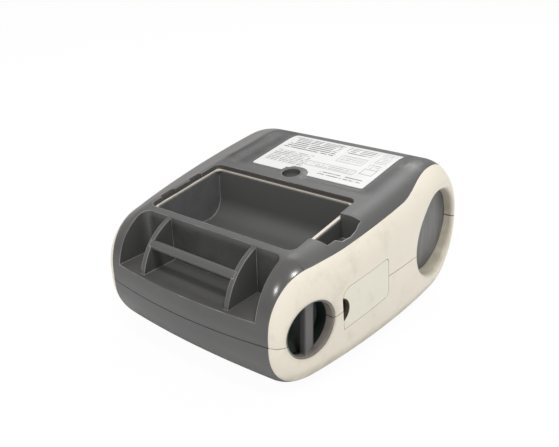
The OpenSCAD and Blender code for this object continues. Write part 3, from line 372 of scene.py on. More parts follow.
def stored(items, key, width=1, kind=np.float32):
    """A number or a vector that the mesh holds for each of its items, as one array."""
    values = np.zeros(len(items) * width, kind)
    items.foreach_get(key, values)
    return values.reshape(-1, width) if width > 1 else values


crease_angle, skin_depth, skin_agreement = math.radians(30), 0.12, 0.9


def finish_piece(thing, name, body, stands_for, material):
    """Names the piece, shades it smooth between its creases, gives the outer skin the exact normals of the
    case surface, and fastens it to its body. A face belongs to the skin when all its corners lie within
    skin_depth of the case surface and its own normal agrees with the exact one."""
    thing.name = thing.data.name = name
    mesh = thing.data
    mesh.materials.clear()
    mesh.materials.append(material)
    count = len(mesh.polygons)
    mesh.polygons.foreach_set("material_index", np.zeros(count, np.int32))
    mesh.polygons.foreach_set("use_smooth", np.ones(count, bool))
    mesh.set_sharp_from_angle(angle=crease_angle)
    mesh.update()
    vertex_of = stored(mesh.loops, "vertex_index", kind=np.int32)
    face_of = np.repeat(np.arange(count), stored(mesh.polygons, "loop_total", kind=np.int32))
    depth, exact = surface_normal(stored(mesh.vertices, "co", 3) * 1000.0)
    deepest = np.zeros(count)
    np.maximum.at(deepest, face_of, np.abs(depth[vertex_of]))
    agreement = np.einsum("ij,ij->i", stored(mesh.polygons, "normal", 3)[face_of], exact[vertex_of])
    worst = np.ones(count)
    np.minimum.at(worst, face_of, agreement)
    skin = (deepest < skin_depth) & (worst > skin_agreement)
    corner = np.where(skin[face_of][:, None], exact[vertex_of], stored(mesh.corner_normals, "vector", 3))
    mesh.normals_split_custom_set(corner.tolist())
    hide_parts(*stands_for)
    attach(thing, body)


# Rear case.
# The dark half that faces up here: one moulding of grained plastic with the battery bay's opening,
# the latch well, the belt-clip pocket with two fins, the label dish and the screw boss.
bay_x, bay_near_y, bay_far_y, tub_wall, rim_depth, seal_width = 38.5, -46.8, -5.1, 1.6, 2.0, 1.2
pocket_x, pocket_back_y, pocket_z, fin_x, fin_t, fin_set_back = 38.3, -51.7, 34.5, 23.6, 2.2, 3.0
bar_y, bar_z, bar_hole_r = nose_y + 10.7, pocket_z + 11, 2.05
well_z, well_near_y, well_far_y, well_x, well_wall, well_floor = 49.0, -37.9, -15.9, 50.5, 1.4, 1.6
post_r, post_z, hole_r, hole_z, screw_r = 5.8, 46, 4.3, 48.4, 1.5
rim_slots = (-41.4, -33.4), (-23.4, -15.9)
clearance, frame_width, frame_depth, post_bite = 0.2, 3.2, 2.5, 0.6


class Socket:
    """A value in a material, so that shader maths reads as plain sums."""

    def __init__(self, material, link):
        self.material, self.link = material, link

    def _math(self, operation, first, second=None, clamp=False):
        node = self.material.node_tree.nodes.new("ShaderNodeMath")
        node.operation, node.use_clamp = operation, clamp
        for place, value in enumerate((first, second)):
            if value is not None:
                plug(self.material, node.inputs[place], value)
        return Socket(self.material, node.outputs[0])

    def __add__(self, other): return self._math("ADD", self, other)
    def __radd__(self, other): return self._math("ADD", other, self)
    def __sub__(self, other): return self._math("SUBTRACT", self, other)
    def __rsub__(self, other): return self._math("SUBTRACT", other, self)
    def __mul__(self, other): return self._math("MULTIPLY", self, other)
    def __rmul__(self, other): return self._math("MULTIPLY", other, self)
    def __truediv__(self, other): return self._math("DIVIDE", self, other)
    def __rtruediv__(self, other): return self._math("DIVIDE", other, self)
    def __pow__(self, other): return self._math("POWER", self, other)
    def __lt__(self, other): return self._math("LESS_THAN", self, other)
    def __gt__(self, other): return self._math("GREATER_THAN", self, other)
    def __mod__(self, other): return self._math("MODULO", self, other)
    def __abs__(self): return self._math("ABSOLUTE", self)
    def at_least(self, low): return self._math("MAXIMUM", self, low)
    def clamp(self): return self._math("ADD", self, 0.0, clamp=True)


def plug(material, target, value):
    """Joins a socket to an input, or writes a plain value into it."""
    if isinstance(value, Socket):
        material.node_tree.links.new(value.link, target)
    elif isinstance(value, (tuple, list)) and len(value) == 3 and target.type == "RGBA":
        target.default_value = (*value, 1.0)
    else:
        target.default_value = value


class Finish:
    """One material: its main shader is there from the start, and add() makes any other node."""

    def __init__(self, name, **constant):
        self.material = bpy.data.materials.new(name)
        self.material.use_nodes = True
        self.shader = self.material.node_tree.nodes["Principled BSDF"]
        self.feed(**constant)
        self.place = self.add("TexCoord", {}, {}, "Object")

    def add(self, kind, settings, values, output=0):
        """A node of one kind with its settings, then the values or links of its sockets."""
        node = self.material.node_tree.nodes.new("ShaderNode" + kind)
        for key, value in settings.items():
            setattr(node, key, value)
        for key, value in values.items():
            plug(self.material, node.inputs[key], value)
        return Socket(self.material, node.outputs[output])

    def noise(self, scale, detail=3.0, rough=0.5, stretch=None, turn=(0.0, 0.0, 0.0)):
        """Cloudy noise from 0 to 1, on a place that may be turned and stretched first."""
        place = self.place
        if stretch:
            place = self.add("Mapping", {}, {"Vector": place, "Rotation": turn, "Scale": stretch})
        return self.add("TexNoise", {}, {"Vector": place, "Scale": scale, "Detail": detail,
                                         "Roughness": rough}, "Fac")

    def ramp(self, value, low, high):
        """Rises evenly from 0 to 1 between two values."""
        return ((value - low) / (high - low)).clamp()

    def mix(self, amount, first, second):
        """The first colour at 0 and the second at 1."""
        return self.add("Mix", {"data_type": "RGBA"}, {0: amount, 6: first, 7: second}, 2)

    def bump(self, height, strength, distance, under=None):
        """Surface direction with small relief, on top of another direction."""
        values = {"Height": height, "Strength": strength, "Distance": distance}
        if under is not None:
            values["Normal"] = under
        return self.add("Bump", {}, values, "Normal")

    def feed(self, **values):
        """Values or links for the main shader's own sockets."""
        for key, value in values.items():
            plug(self.material, self.shader.inputs[key.replace("_", " ")], value)
        return self.material


def rounded_edges(finish, radius):
    """Surface direction with softened edges, and a mask that is 1 on the edges, where that direction turns
    away from the plain one."""
    soft = finish.add("Bevel", {"samples": 6}, {"Radius": radius}, "Normal")
    plain = finish.add("NewGeometry", {}, {}, "Normal")
    agree = finish.add("VectorMath", {"operation": "DOT_PRODUCT"}, {0: soft, 1: plain}, "Value")
    return soft, finish.ramp(1 - agree, 0.02, 0.22)


def coordinates(finish, axes="XYZ"):
    """The place on the object along the named axes, in millimetres."""
    scaled = finish.add("VectorMath", {"operation": "SCALE"}, {"Vector": finish.place, "Scale": 1000.0})
    return [finish.add("SeparateXYZ", {}, {"Vector": scaled}, axis) for axis in axes]


def distance(u, v, u0, v0):
    """Distance in a plane from a point: the root of the sum of both squares."""
    return ((u - u0) ** 2 + (v - v0) ** 2) ** 0.5


def moulded_plastic(name, color, lighter, rough=0.46, grain=0.000012, edge=0.0003, edge_tint=0.5, dirt=0.0,
                    dirt_and_shade_color=None, dirt_and_shade=None, gloss_and_paleness=None):
    """Moulded plastic: a fine spark-eroded grain, slow changes of tone, edges mixed towards the colour lighter
    and, on the pale parts, faint handling marks. The edge colour is rubbed wear, partly painted highlight on
    rounded
    and inner edges, and on the door a dark outline. Where the given mask says so, the dirt colour is laid on:
    gathered dirt on some parts, painted shade on others. Where the gloss mask says so, the grain is smoother
    and
    paler: rubbed by hands, and on some patches painted highlight."""
    finish = Finish(name)
    slow = finish.noise(22.0, 2.0)
    fine = finish.noise(240.0, 3.0, 0.6)
    soft, edges = rounded_edges(finish, edge)
    darker = tuple(0.86 * c for c in color)
    shade = finish.mix(finish.ramp(slow, 0.3, 0.7) * 0.5 + fine * 0.15, color, darker)
    if dirt:
        smears = finish.ramp(finish.noise(70.0, 5.0, 0.65), 0.52, 0.74)
        handled = finish.ramp(finish.noise(16.0, 2.0), 0.42, 0.66)
        shade = finish.mix(smears * handled * dirt, shade, dirt_and_shade_color)
    # The mask lays the dirt colour on: gathered dirt for some materials, painted shade for others.
    if dirt_and_shade:
        patchy = finish.ramp(finish.noise(130.0, 4.0, 0.6), 0.30, 0.68) * 0.6 + 0.4
        shade = finish.mix((dirt_and_shade(finish) * patchy).clamp(), shade, dirt_and_shade_color)
    # Edge colour: rubbed wear, partly painted highlight on rounded and inner edges.
    tinted_edges = edges * edge_tint * (finish.ramp(finish.noise(75.0, 2.0), 0.40, 0.60) * 0.7 + 0.3)
    dull = rough + 0.10 * slow - 0.04 * fine
    # The gloss mask lowers roughness; its paleness adds paler marks, some of them painted highlight.
    if gloss_and_paleness:
        gloss, pale, kept = gloss_and_paleness(finish)
        tinted_edges = (tinted_edges * kept + pale).clamp()
        dull = dull - gloss * 0.24
    shade = finish.mix(tinted_edges, shade, lighter)
    grained = finish.bump(finish.noise(2600.0, 2.0), 0.35, grain, soft)
    return finish.feed(Base_Color=shade, Roughness=dull, Normal=grained)


def seam_distance(y, z):
    """Height above or below the parting line: its level height, less the slope towards the nose, plus the
    slope behind the window."""
    nose_slope = (seam_zs[1] - seam_zs[0]) / (seam_ys[1] - seam_ys[0])
    rear_slope = (seam_zs[3] - seam_zs[2]) / (seam_ys[3] - seam_ys[2])
    fall = (seam_ys[1] - y).at_least(0.0) * nose_slope
    rise = (y - seam_ys[2]).at_least(0.0) * rear_slope
    return abs(z - seam_zs[1] + fall - rise)


def painted_shade(finish):
    """Amount of painted shade in the dark plastic: in the two long hollows of the dish beside the label, more
    in the left one and along its outer edge, on the wall between the pocket and the bay, and on the nose."""
    x, y, z = coordinates(finish)
    beside_label = finish.ramp(y, -2, 6) * finish.ramp(z, 50, 55)
    left = finish.ramp(x, dish_left - 1.3, dish_left + 0.1) * finish.ramp(x, -25.5, -30.0) * 1.1
    left_edge = finish.ramp(abs(x + 41.5 - (y - 3) * 0.183), 2.0, 0.6) * 1.2
    right = finish.ramp(x, 34.5, 36.5) * finish.ramp(x, 52.0, 43.0) * 0.55
    pocket_back = finish.ramp(abs(y - pocket_back_y), 0.6, 0.3) * finish.ramp(z, 53.5, 51.5) * 0.75
    nose_top = finish.ramp(z, 27.5, 30.0) * finish.ramp(y, -64, -68) * 0.30
    return beside_label * (left + left_edge + right) + pocket_back + nose_top


scuff_x, scuff_y = 43.4, 33.2


def polish_and_highlight(finish):
    """Gloss and paleness of the dark plastic, and how much of its pale edges is kept. The two upper corners
    of the nose are rubbed glossy, a patch of the right shoulder is rubbed pale, the whole left shoulder is
    painted paler as highlight, the wall of the screw hole is paler, and the edges of the parting line stay
    dark."""
    x, y, z = coordinates(finish)
    gloss = finish.ramp(abs(x), 37, 41) * finish.ramp(y, -47, -53) * finish.ramp(z, 36, 41)
    scratched = finish.ramp(finish.noise(260.0, 4.0, 0.65, (1.0, 0.4, 1.0)), 0.38, 0.66)
    scuffed = finish.ramp(distance(x, y, scuff_x, scuff_y), 7.5, 0.8) * scratched * 0.36
    # Painted highlight: the left shoulder made paler.
    left_shoulder_highlight = finish.ramp(x, -40.2, -42.0) * finish.ramp(z, 50, 56) * 0.20
    to_hole = distance(x, y, boss_x, boss_y)
    in_hole = finish.ramp(to_hole, hole_r + 0.4, hole_r + 0.1) * finish.ramp(z, 61.5, 60.0)
    kept = finish.ramp(seam_distance(y, z), 0.6, 1.2)
    return gloss, scuffed + left_shoulder_highlight + in_hole * 0.28, kept


# Its dirt colour is painted shade only, laid on in the dish, the pocket and the nose.
dark_plastic = moulded_plastic("dark_case_plastic", (0.088, 0.086, 0.0845), (0.46, 0.45, 0.435), rough=0.42,
                               grain=0.00002, edge=0.0007, edge_tint=0.85, dirt_and_shade_color=(0.032, 0.032, 0.031),
                               dirt_and_shade=painted_shade, gloss_and_paleness=polish_and_highlight)


def slope_y(y, depth=2.0):
    """Place along the slanted underside of a point a little below it at a level place y."""
    return (y - depth * math.sin(under_tilt)) / math.cos(under_tilt)


def bay_ring(grow, r=3.5):
    """Rounded outline of the battery bay in the plane of the underside."""
    return box_ring(-bay_x - grow, slope_y(bay_near_y - grow), bay_x + grow, slope_y(bay_far_y + grow), r)


def tub_ring(grow):
    """Square outline of the battery tub's outside."""
    g = tub_wall + grow
    return box_ring(-bay_x - g, bay_near_y - g, bay_x + g, bay_far_y + g)


def well_ring(grow):
    """Stepped outline of the latch well, with its steps counted from its outer and near sides."""
    x0, x1 = bay_x + (tub_wall + clearance if grow else 0.5), well_x + grow
    return np.array([(x0, well_near_y - grow), (x1 - 3.4, well_near_y + 1.4 - grow),
                     (x1 - 2.8, well_near_y + 5.8), (x1 - 0.9, well_near_y + 7.5),
                     (x1, well_near_y + 12.2), (x1 - 0.3, well_near_y + 16.5),
                     (x1 - 1.2, well_far_y - 2.4), (x1 - 1.4, well_far_y + grow),
                     (x0, well_far_y - 0.8 + grow)])


pocket_ring = box_ring(-pocket_x, -95, pocket_x, pocket_back_y, (4, 4, 0, 0))
inside = combine(case_solid(wall - post_bite), middle_block(-band_seam), how="INTERSECT")
rear_case = combine(combine(copy_of(shell), middle_block(-band_seam), how="INTERSECT"),
                    parting_block(True, seam))
bay_frame = prism(box_ring(-bay_x - frame_width, bay_near_y - frame_width, bay_x + frame_width,
                           bay_far_y + frame_width, 4), under_z(bay_near_y) - rim_depth - frame_depth, 160)
posts = [
    prism(box_ring(-pocket_x - 2, nose_y, pocket_x + 2, bay_near_y - tub_wall - clearance),
          pocket_z - 2, 160),
    prism(well_ring(well_wall), well_z - well_floor, 160),
    prism(circle_ring(boss_x, boss_y, post_r), post_z, 160),
    combine(bay_frame, prism(tub_ring(clearance), 0, 200)),
]
for post in posts:
    rear_case = combine(rear_case, combine(post, copy_of(inside), how="INTERSECT"), how="UNION")
bpy.data.objects.remove(inside)
tub_room = combine(prism(tub_ring(clearance), 30, 160),
                   prism(box_ring(-200, -200, 200, 200), -rim_depth, 200, "slant"))
combine(rear_case, prism(pocket_ring, pocket_z, 160), tub_room,
        prism(bay_ring(seal_width), -30, 60, "slant"), prism(well_ring(0), well_z, 160),
        prism(circle_ring(boss_x, boss_y, hole_r), hole_z, 160),
        prism(circle_ring(boss_x, boss_y, screw_r), 40, 160))
for y0, y1 in rim_slots:
    combine(rear_case, prism(box_ring(-bay_x - 3, y0, -bay_x + 1, y1, 0.8), -5, 60, "slant"))
for side in (-1, 1):
    plate = prism(box_ring(side * fin_x - fin_t / 2, nose_y, side * fin_x + fin_t / 2, pocket_back_y + 1),
                  pocket_z - 1, 160)
    fin = combine(plate, prism(outline[:, :2] + [fin_set_back, 0], -60, 60, "x"), how="INTERSECT")
    combine(fin, prism(circle_ring(bar_y, bar_z, bar_hole_r), -fin_x - 0.1, fin_x + 0.1, "x"))
    rear_case = combine(rear_case, fin, how="UNION")
finish_piece(rear_case, "rear_case_shell", "case", ["rear_case"], dark_plastic)

# Front case.
# The dark half that the printer lies on: the same plastic, with the control panel, the opening for
# the lid, the paper slot with its rib, and two ears for the hinge pin.
hinge_r, hinge_y, hinge_z, knuckle_x, lid_x, lid_gap = 4.6, 57.469, 11.432, 38.0, 45.2, 0.3
ear_x, ear_half, ear_length, ear_tilt, ear_pin_r = knuckle_x + 3.7, 3.4, 9, math.radians(40), 1.27
barrel_sweep, rib_t, rib_z0, rib_z1 = hinge_r + 1.15, 1.4, 1, 5.1
platen_y, platen_z, head_half = -3.5, 8.2, 35.7
lid_front_y = platen_y - 5.2
slot_y = lid_front_y - 2.1
tear_y = slot_y - 0.9
display_half, display_y0, display_y1, display_lap = 19.5, -44.5, -30.5, 1.6
key_holes = (33, -38, 5.3), (-33, -38, 5.3), (30, -23, 3.7)


def lid_ring(grow):
    """Side outline of the space that the lid fills, up to the direction in which its rear edge lies."""
    a = math.radians(-50)
    return [(lid_front_y - grow, -5), (lid_front_y - grow, 9), (30, 9), (hinge_y, hinge_z + grow),
            (rear_y + 60 * math.cos(a), rear_r + 60 * math.sin(a) + grow)]


front_case = combine(combine(copy_of(shell), middle_block(-band_seam), how="INTERSECT"),
                     parting_block(False, -seam))
within = case_solid(1.0)
for side in (-1, 1):
    x0, x1 = side * ear_x - ear_half, side * ear_x + ear_half
    eye = prism(circle_ring(hinge_y, hinge_z, hinge_r), x0, x1, "x")
    arm = np.array([(0, -hinge_r), (ear_length, -hinge_r), (ear_length, hinge_r), (0, hinge_r)])
    turn = np.array([[math.cos(ear_tilt), -math.sin(ear_tilt)], [math.sin(ear_tilt), math.cos(ear_tilt)]])
    arm = arm @ turn.T + np.array([hinge_y, hinge_z])
    ear = combine(eye, prism(arm, x0, x1, "x"), how="UNION")
    front_case = combine(front_case, combine(ear, copy_of(within), how="INTERSECT"), how="UNION")
bpy.data.objects.remove(within)
combine(front_case, prism(box_ring(-head_half, tear_y - rib_t, head_half, tear_y), rib_z0, rib_z1),
        how="UNION")
opening = prism(lid_ring(lid_gap), -lid_x - lid_gap, lid_x + lid_gap, "x")
for side in (-1, 1):
    kept_ear = span(side, knuckle_x + lid_gap, knuckle_x + 7.1)
    combine(opening, prism(circle_ring(hinge_y, hinge_z, hinge_r), *kept_ear, "x"))
combine(front_case, opening,
        prism(box_ring(-lid_x - lid_gap, slot_y, lid_x + lid_gap, slot_y + 6), -5, 9),
        prism(box_ring(-head_half - 0.1, tear_y, head_half + 0.1, tear_y + 6), -5, 9),
        prism(circle_ring(hinge_y, hinge_z, barrel_sweep), -knuckle_x - lid_gap, knuckle_x + lid_gap, "x"),
        prism(circle_ring(hinge_y, hinge_z, ear_pin_r), -knuckle_x - 6, knuckle_x + 6, "x"),
        prism(box_ring(-display_half, display_y0, display_half, display_y1, 1.5), -1, wall + 1),
        prism(box_ring(-display_half - display_lap, display_y0 - display_lap, display_half + display_lap,
                       display_y1 + display_lap, 2), -1, 1.9),
        *(prism(circle_ring(*hole), -1, wall + 1) for hole in key_holes))
finish_piece(front_case, "front_case_shell", "case", ["front_case"], dark_plastic)

# Lid.
# The cover over the label roll, the same grained plastic, with a barrel that turns on the hinge pin,
# a window over the labels and two arms that carry the platen.
ear_notch_r, spring_notch_r, spring_half, lid_pin_r = hinge_r + 0.8, hinge_r + 1, 6.3, 1.31
arm_x0, arm_x1, arm_r, bush_r, gear_x0, gear_x1, gear_r = 36.1, 38.3, 5, 3.45, 40.6, 44.2, 6.9
pane_half, pane_y0, pane_y1, pane_lap = 22, 14, 36, 1.5
lid = combine(combine(copy_of(outer), case_solid(wall)), prism(lid_ring(0), -lid_x, lid_x, "x"),
              how="INTERSECT")
for side in (-1, 1):
    combine(lid, prism(circle_ring(hinge_y, hinge_z, ear_notch_r), *span(side, knuckle_x, 80), "x"))
lid = combine(lid, prism(circle_ring(hinge_y, hinge_z, hinge_r), -knuckle_x, knuckle_x, "x"), how="UNION")
for side in (-1, 1):
    arm_span = span(side, arm_x0, arm_x1)
    arm = combine(prism(circle_ring(platen_y, platen_z, arm_r), *arm_span, "x"),
                  prism(box_ring(platen_y - arm_r, 1, platen_y + 9, platen_z), *arm_span, "x"), how="UNION")
    lid = combine(lid, arm, how="UNION")
combine(lid, prism(circle_ring(platen_y, platen_z, bush_r), -42, 42, "x"),
        prism(circle_ring(platen_y, platen_z, gear_r), gear_x0, gear_x1, "x"),
        prism(circle_ring(hinge_y, hinge_z, lid_pin_r), -60, 60, "x"),
        prism(circle_ring(hinge_y, hinge_z, spring_notch_r), -spring_half, spring_half, "x"),
        prism(box_ring(-pane_half, pane_y0, pane_half, pane_y1, 3), -1, 9),
        prism(box_ring(-pane_half - pane_lap, pane_y0 - pane_lap, pane_half + pane_lap, pane_y1 + pane_lap, 3),
              -1, 1.8))
finish_piece(lid, "lid_shell", "lid", ["lid"], dark_plastic)

# Side bands.
# Pale plastic cheeks over both sides of the case, split at the parting line. Each has a strap eye's
# hole, a deep round mouth with a soft lip for the roll window, and on one side the port door's opening.
window_y, window_z, window_r, window_x, window_t = 37.2, 35.9, 20.2, 51.5, 1.8
eye_y, eye_z, eye_r = -53.3, 28.7, 12.0
door_y, door_z, door_l, door_h, door_turn, door_gap = -22.3, 31.3, 29.2, 18.0, math.radians(5.5), 0.22
tube_wall, ledge, flush = 1.6, 1.2, 0.4


def band_dirt_and_shade(finish):
    """Amount of darkening by place: in the mouths of the windows and just round them, dirt round the strap
    eyes, and painted shadow on the lowest part, near the floor. Each is an even ramp of the distance from the
    middle of the round hole, or of the height."""
    y, z = coordinates(finish, "YZ")
    to_window = distance(y, z, window_y, window_z)
    mouth = finish.ramp(to_window, window_r + 1.5, window_r - 0.1) * 0.92
    lip = finish.ramp(to_window, window_r + 4.3, window_r + 2.0) * 0.12
    eye = finish.ramp(distance(y, z, eye_y, eye_z), eye_r + 1.6, eye_r) * 0.30
    # Painted shadow on the band's lowest part, near the floor.
    low = finish.ramp(z, 12.5, 8.8) * 0.8
    return mouth + lip + eye + low


cream_plastic = moulded_plastic("pale_band_plastic", (0.765, 0.708, 0.600), (0.84, 0.80, 0.71), rough=0.42,
                                grain=0.000005, edge_tint=0.25, dirt=0.42, dirt_and_shade_color=(0.40, 0.365, 0.285),
                                dirt_and_shade=band_dirt_and_shade)


def side_surface(y, z):
    """Distance of the case's side from the middle at a place seen from the side, by a few steps of moving
    out or in by the depth that surface_normal gives."""
    x = np.full(y.shape, 57.0)
    for _ in range(6):
        x = x + surface_normal(np.column_stack([x, y, z]))[0]
    return x


def mouth_cutter(side, lip=2.6, rings=9, steps=96):
    """The soft lip round a window: seen from the side it is a ring, whose floor follows the case surface at
    its outer edge and dives along a quarter circle to the wall of the mouth at its inner edge. The ring
    starts a little inside the wall and ends a little outside the surface, so that it cuts cleanly."""
    a = 2 * np.pi * np.arange(steps) / steps
    s = np.linspace(0, 1, rings)[:, None] * np.pi / 2
    radius = np.repeat(window_r - 0.02 + lip * (1 - np.cos(s)), steps, axis=1)
    drop = np.repeat(lip * (1 - np.sin(s)), steps, axis=1)
    y, z = window_y + radius * np.cos(a), window_z + radius * np.sin(a)
    x = side_surface(y.ravel(), z.ravel()).reshape(y.shape) - drop
    x[-1] += 0.03
    top = np.full_like(x, 70.0)
    grid = np.stack([np.concatenate([floor, cover[::-1]]) for floor, cover in ((x, top), (y, y), (z, z))], -1)
    n = len(grid)
    i, j = np.meshgrid(np.arange(n), np.arange(steps), indexing="ij")
    p, q = i * steps + j, ((i + 1) % n) * steps + j
    p2, q2 = i * steps + (j + 1) % steps, ((i + 1) % n) * steps + (j + 1) % steps
    faces = np.stack([p, p2, q2, q], -1).reshape(-1, 4)
    if side < 0:
        grid[..., 0] *= -1
        faces = faces[:, ::-1]
    return mesh_object("mouth", grid.reshape(-1, 3), faces.tolist())


def door_ring(grow):
    """Outline of the port door from the side: a rounded rectangle turned a little, with a large corner over
    the fingernail notch and a nearly sharp one under it."""
    ring = box_ring(-door_l / 2 - grow, -door_h / 2 - grow, door_l / 2 + grow, door_h / 2 + grow,
                    (1.7, 5.0, 0.4, 3.0))
    c, s = math.cos(door_turn), math.sin(door_turn)
    return ring @ np.array([[c, s], [-s, c]]) + np.array([door_y, door_z])


for side, side_name in ((1, "right"), (-1, "left")):
    half_space = prism(box_ring(-100, -100, 100, 100), *span(side, 0, -99), "x")
    cheek = combine(combine(copy_of(shell), middle_block(band_seam)), half_space)
    behind_disc = window_x - window_t
    tube = combine(prism(circle_ring(window_y, window_z, window_r + tube_wall),
                         *span(side, behind_disc - ledge, 70), "x"),
                   prism(circle_ring(window_y, window_z, window_r - tube_wall), *span(side, 40, 80), "x"))
    cheek = combine(cheek, combine(tube, case_solid(flush), how="INTERSECT"), how="UNION")
    combine(cheek, prism(circle_ring(window_y, window_z, window_r), *span(side, behind_disc, 80), "x"),
            mouth_cutter(side), prism(circle_ring(eye_y, eye_z, eye_r + 0.05), *span(side, 0, 80), "x"))
    if side > 0:
        combine(cheek, prism(door_ring(door_gap), 45, 80, "x"))
    for below, part_name in ((True, "front"), (False, "rear")):
        half = combine(copy_of(cheek), parting_block(not below, -seam if below else seam))
        name = f"{side_name}_band_{part_name}"
        finish_piece(half, name + "_shell", "case", [name], cream_plastic)
    bpy.data.objects.remove(cheek)

# Port door.
# A soft rubber plate over the sockets, a little greener than the band, flush with it, with a
# hollow at its free end to pull it out by, whose wall is painted dark as shade.
notch_y, notch_z, notch_r = -39.25, 30.0, 5.65
door_sunk, door_t = 0.05, 2.0


def notch_shade(finish):
    """Painted shade on the hollow's wall: it depends on the distance from the middle of the hollow's circle.
    """
    y, z = coordinates(finish, "YZ")
    return finish.ramp(distance(y, z, notch_y, notch_z), notch_r + 0.35, notch_r + 0.1) * 2.0


door_rubber = moulded_plastic("door_rubber", (0.76, 0.735, 0.62), (0.34, 0.30, 0.22), rough=0.55,
                              grain=0.000006, edge=0.00025, edge_tint=0.4, dirt=0.2,
                              dirt_and_shade_color=(0.075, 0.062, 0.042), dirt_and_shade=notch_shade)
door = combine(combine(case_solid(door_sunk), case_solid(door_t)), prism(door_ring(0.0), 20, 80, "x"),
               how="INTERSECT")
combine(door, prism(circle_ring(notch_y, notch_z, notch_r), 20, 80, "x"))
finish_piece(door, "port_door_rubber", "door", ["port_door"], door_rubber)

for spare in (shell, outer):
    bpy.data.objects.remove(spare)


# Battery tub and clip bar.
# Dark plastic again: the tub is a separate, smoother moulding that drops into the bay opening,
# and the bar clicks into the holes of the two fins.
def dress(material, *names):
    """Gives CAD pieces their finish."""
    for name in names:
        nodes[name].data.materials.clear()
        nodes[name].data.materials.append(material)


def paler_end_wall(finish):
    """Paleness of the left end wall of the bay."""
    [x] = coordinates(finish, "X")
    return finish.ramp(x, -bay_x + 1.2, -bay_x + 0.4) * 0.9


def tub_edge_highlight(finish):
    """No gloss or paleness, and the pale edges, a painted highlight on the tub's rounded edges, only below the
    tub's rim, which is level with the slanted underside."""
    y, z = coordinates(finish, "YZ")
    rim = under_z0 - rim_depth - 0.8
    return 0.0, 0.0, finish.ramp(z - y * math.tan(under_tilt), rim - 0.6, rim - 1.4)


# The tub's pale edges are painted highlight along its rounded edges, and its left end wall is paler.
dress(moulded_plastic("tub_plastic", (0.100, 0.099, 0.097), (0.55, 0.54, 0.52), rough=0.36, edge=0.0009,
                      edge_tint=1.0, dirt_and_shade_color=(0.156, 0.156, 0.158), dirt_and_shade=paler_end_wall, gloss_and_paleness=tub_edge_highlight),
      "battery_tub")
dress(dark_plastic, "clip_bar")

# Strap rings.
# The same dark plastic: a ring with a bar lines each strap hole. Its wall is rubbed grey where it stands
# out of the cup, keeps the cup's colour under that, and is dark where the parting line runs across it.
ring = Finish("strap_ring_plastic")
ring_x, ring_y, ring_z = coordinates(ring)
on_wall = ring.ramp(distance(ring_y, ring_z, eye_y, eye_z), eye_r - 2.0, eye_r - 0.9)
under_surface = half_width - side_fall * (ring_y - widest_y) ** 2 - abs(ring_x)
deep = ring.ramp(under_surface, 3.8, 4.1) * on_wall
crossing = ring.ramp(seam_distance(ring_y, ring_z), 0.3, 0.15) * on_wall
patches = ring.ramp(ring.noise(140.0, 3.0, 0.6), 0.3, 0.7) * 0.5 + 0.5
ring_shade = ring.mix(on_wall * patches, (0.088, 0.086, 0.0845), (0.25, 0.222, 0.195))
ring_shade = ring.mix(crossing * 0.9, ring_shade, (0.03, 0.028, 0.025))
ring.feed(Base_Color=ring.mix(deep, ring_shade, (0.012, 0.018, 0.0165)), Roughness=0.42 - 0.1 * deep,
          Normal=ring.bump(ring.noise(2600.0, 2.0), 0.35, 0.00001, rounded_edges(ring, 0.0012)[0]))
dress(ring.material, "strap_eye_right", "strap_eye_left")


# Bay seal.
# The tan rubber lip that is pressed on the rim of the battery tub, with its edges painted paler as highlight
# and the outer part of two sides painted dark as shade.
def seal_shade(finish):
    """Painted shade on the outer half of the lip along the far side and the left side of the bay."""
    x, y = coordinates(finish, "XY")
    far_side = finish.ramp(y, bay_far_y + 0.2, bay_far_y + 0.5)
    left_side = finish.ramp(x, -bay_x - 0.5, -bay_x - 1.0)
    return far_side * 2.0 + left_side * 2.0


dress(moulded_plastic("seal_rubber", (0.64, 0.59, 0.51), (0.80, 0.76, 0.69), rough=0.55, edge=0.0004,
                      edge_tint=0.7, dirt_and_shade_color=(0.085, 0.07, 0.06), dirt_and_shade=seal_shade), "bay_seal")

# Roll windows.
# Smoked discs at both ends of the label roll, pressed into the mouths of the bands, with the streaks
# that fingers and dust leave and fine scratches across them.
smoked = Finish("smoked_disc")
streaks = smoked.ramp(smoked.noise(34.0, 4.0, 0.6, (1.0, 1.0, 0.25)), 0.35, 0.7)
cloud = smoked.noise(60.0, 3.0)
scratches = smoked.ramp(smoked.noise(420.0, 3.0, 0.5, (1.0, 1.0, 0.12), (0.8, 0.0, 0.0)), 0.58, 0.66)
film = smoked.mix(streaks, (0.078, 0.078, 0.076), (0.155, 0.155, 0.152))
scratched_film = smoked.mix(scratches * smoked.ramp(cloud, 0.42, 0.60) * 0.28, film, (0.34, 0.34, 0.335))
smoked.feed(Base_Color=scratched_film, Roughness=0.26 + 0.25 * cloud,
            Normal=smoked.bump(cloud, 0.2, 0.00002, rounded_edges(smoked, 0.0004)[0]))
dress(smoked.material, "roll_window_right", "roll_window_left")

# Strap cups.
# A deep round cup of polished dark green-black plastic behind each strap bar, pressed into the
# band, with a few dust specks.
cup = Finish("polished_cup", Specular_IOR_Level=0.12)
specks = cup.ramp(cup.noise(160.0, 4.0, 0.7), 0.62, 0.72)
cup.feed(Base_Color=cup.mix(specks, (0.034, 0.046, 0.042), (0.15, 0.165, 0.15)),
         Roughness=0.22 + 0.25 * cup.noise(45.0, 3.0))
dress(cup.material, "strap_cup_right", "strap_cup_left")

# Rating label.
# A white film label stuck in the dish and cut out round the screw hole, blank apart from generic
# ruled lines and empty frames.
paper = Finish("blank_label")
label_x, label_y = coordinates(paper, "XY")
grey = paper.ramp(paper.noise(90.0, 2.0), 0.3, 0.7)


def area_of_label(x0, x1, y0, y1):
    """1 inside a rectangle, 0 outside."""
    return (label_x > x0) * (label_x < x1) * (label_y > y0) * (label_y < y1)


def ruled(pitch, thick, *area):
    """Lines across an area of the label: the place along it, counted in pitches, is in its first part."""
    return (((label_y + 100.0) % pitch) < thick) * area_of_label(*area)


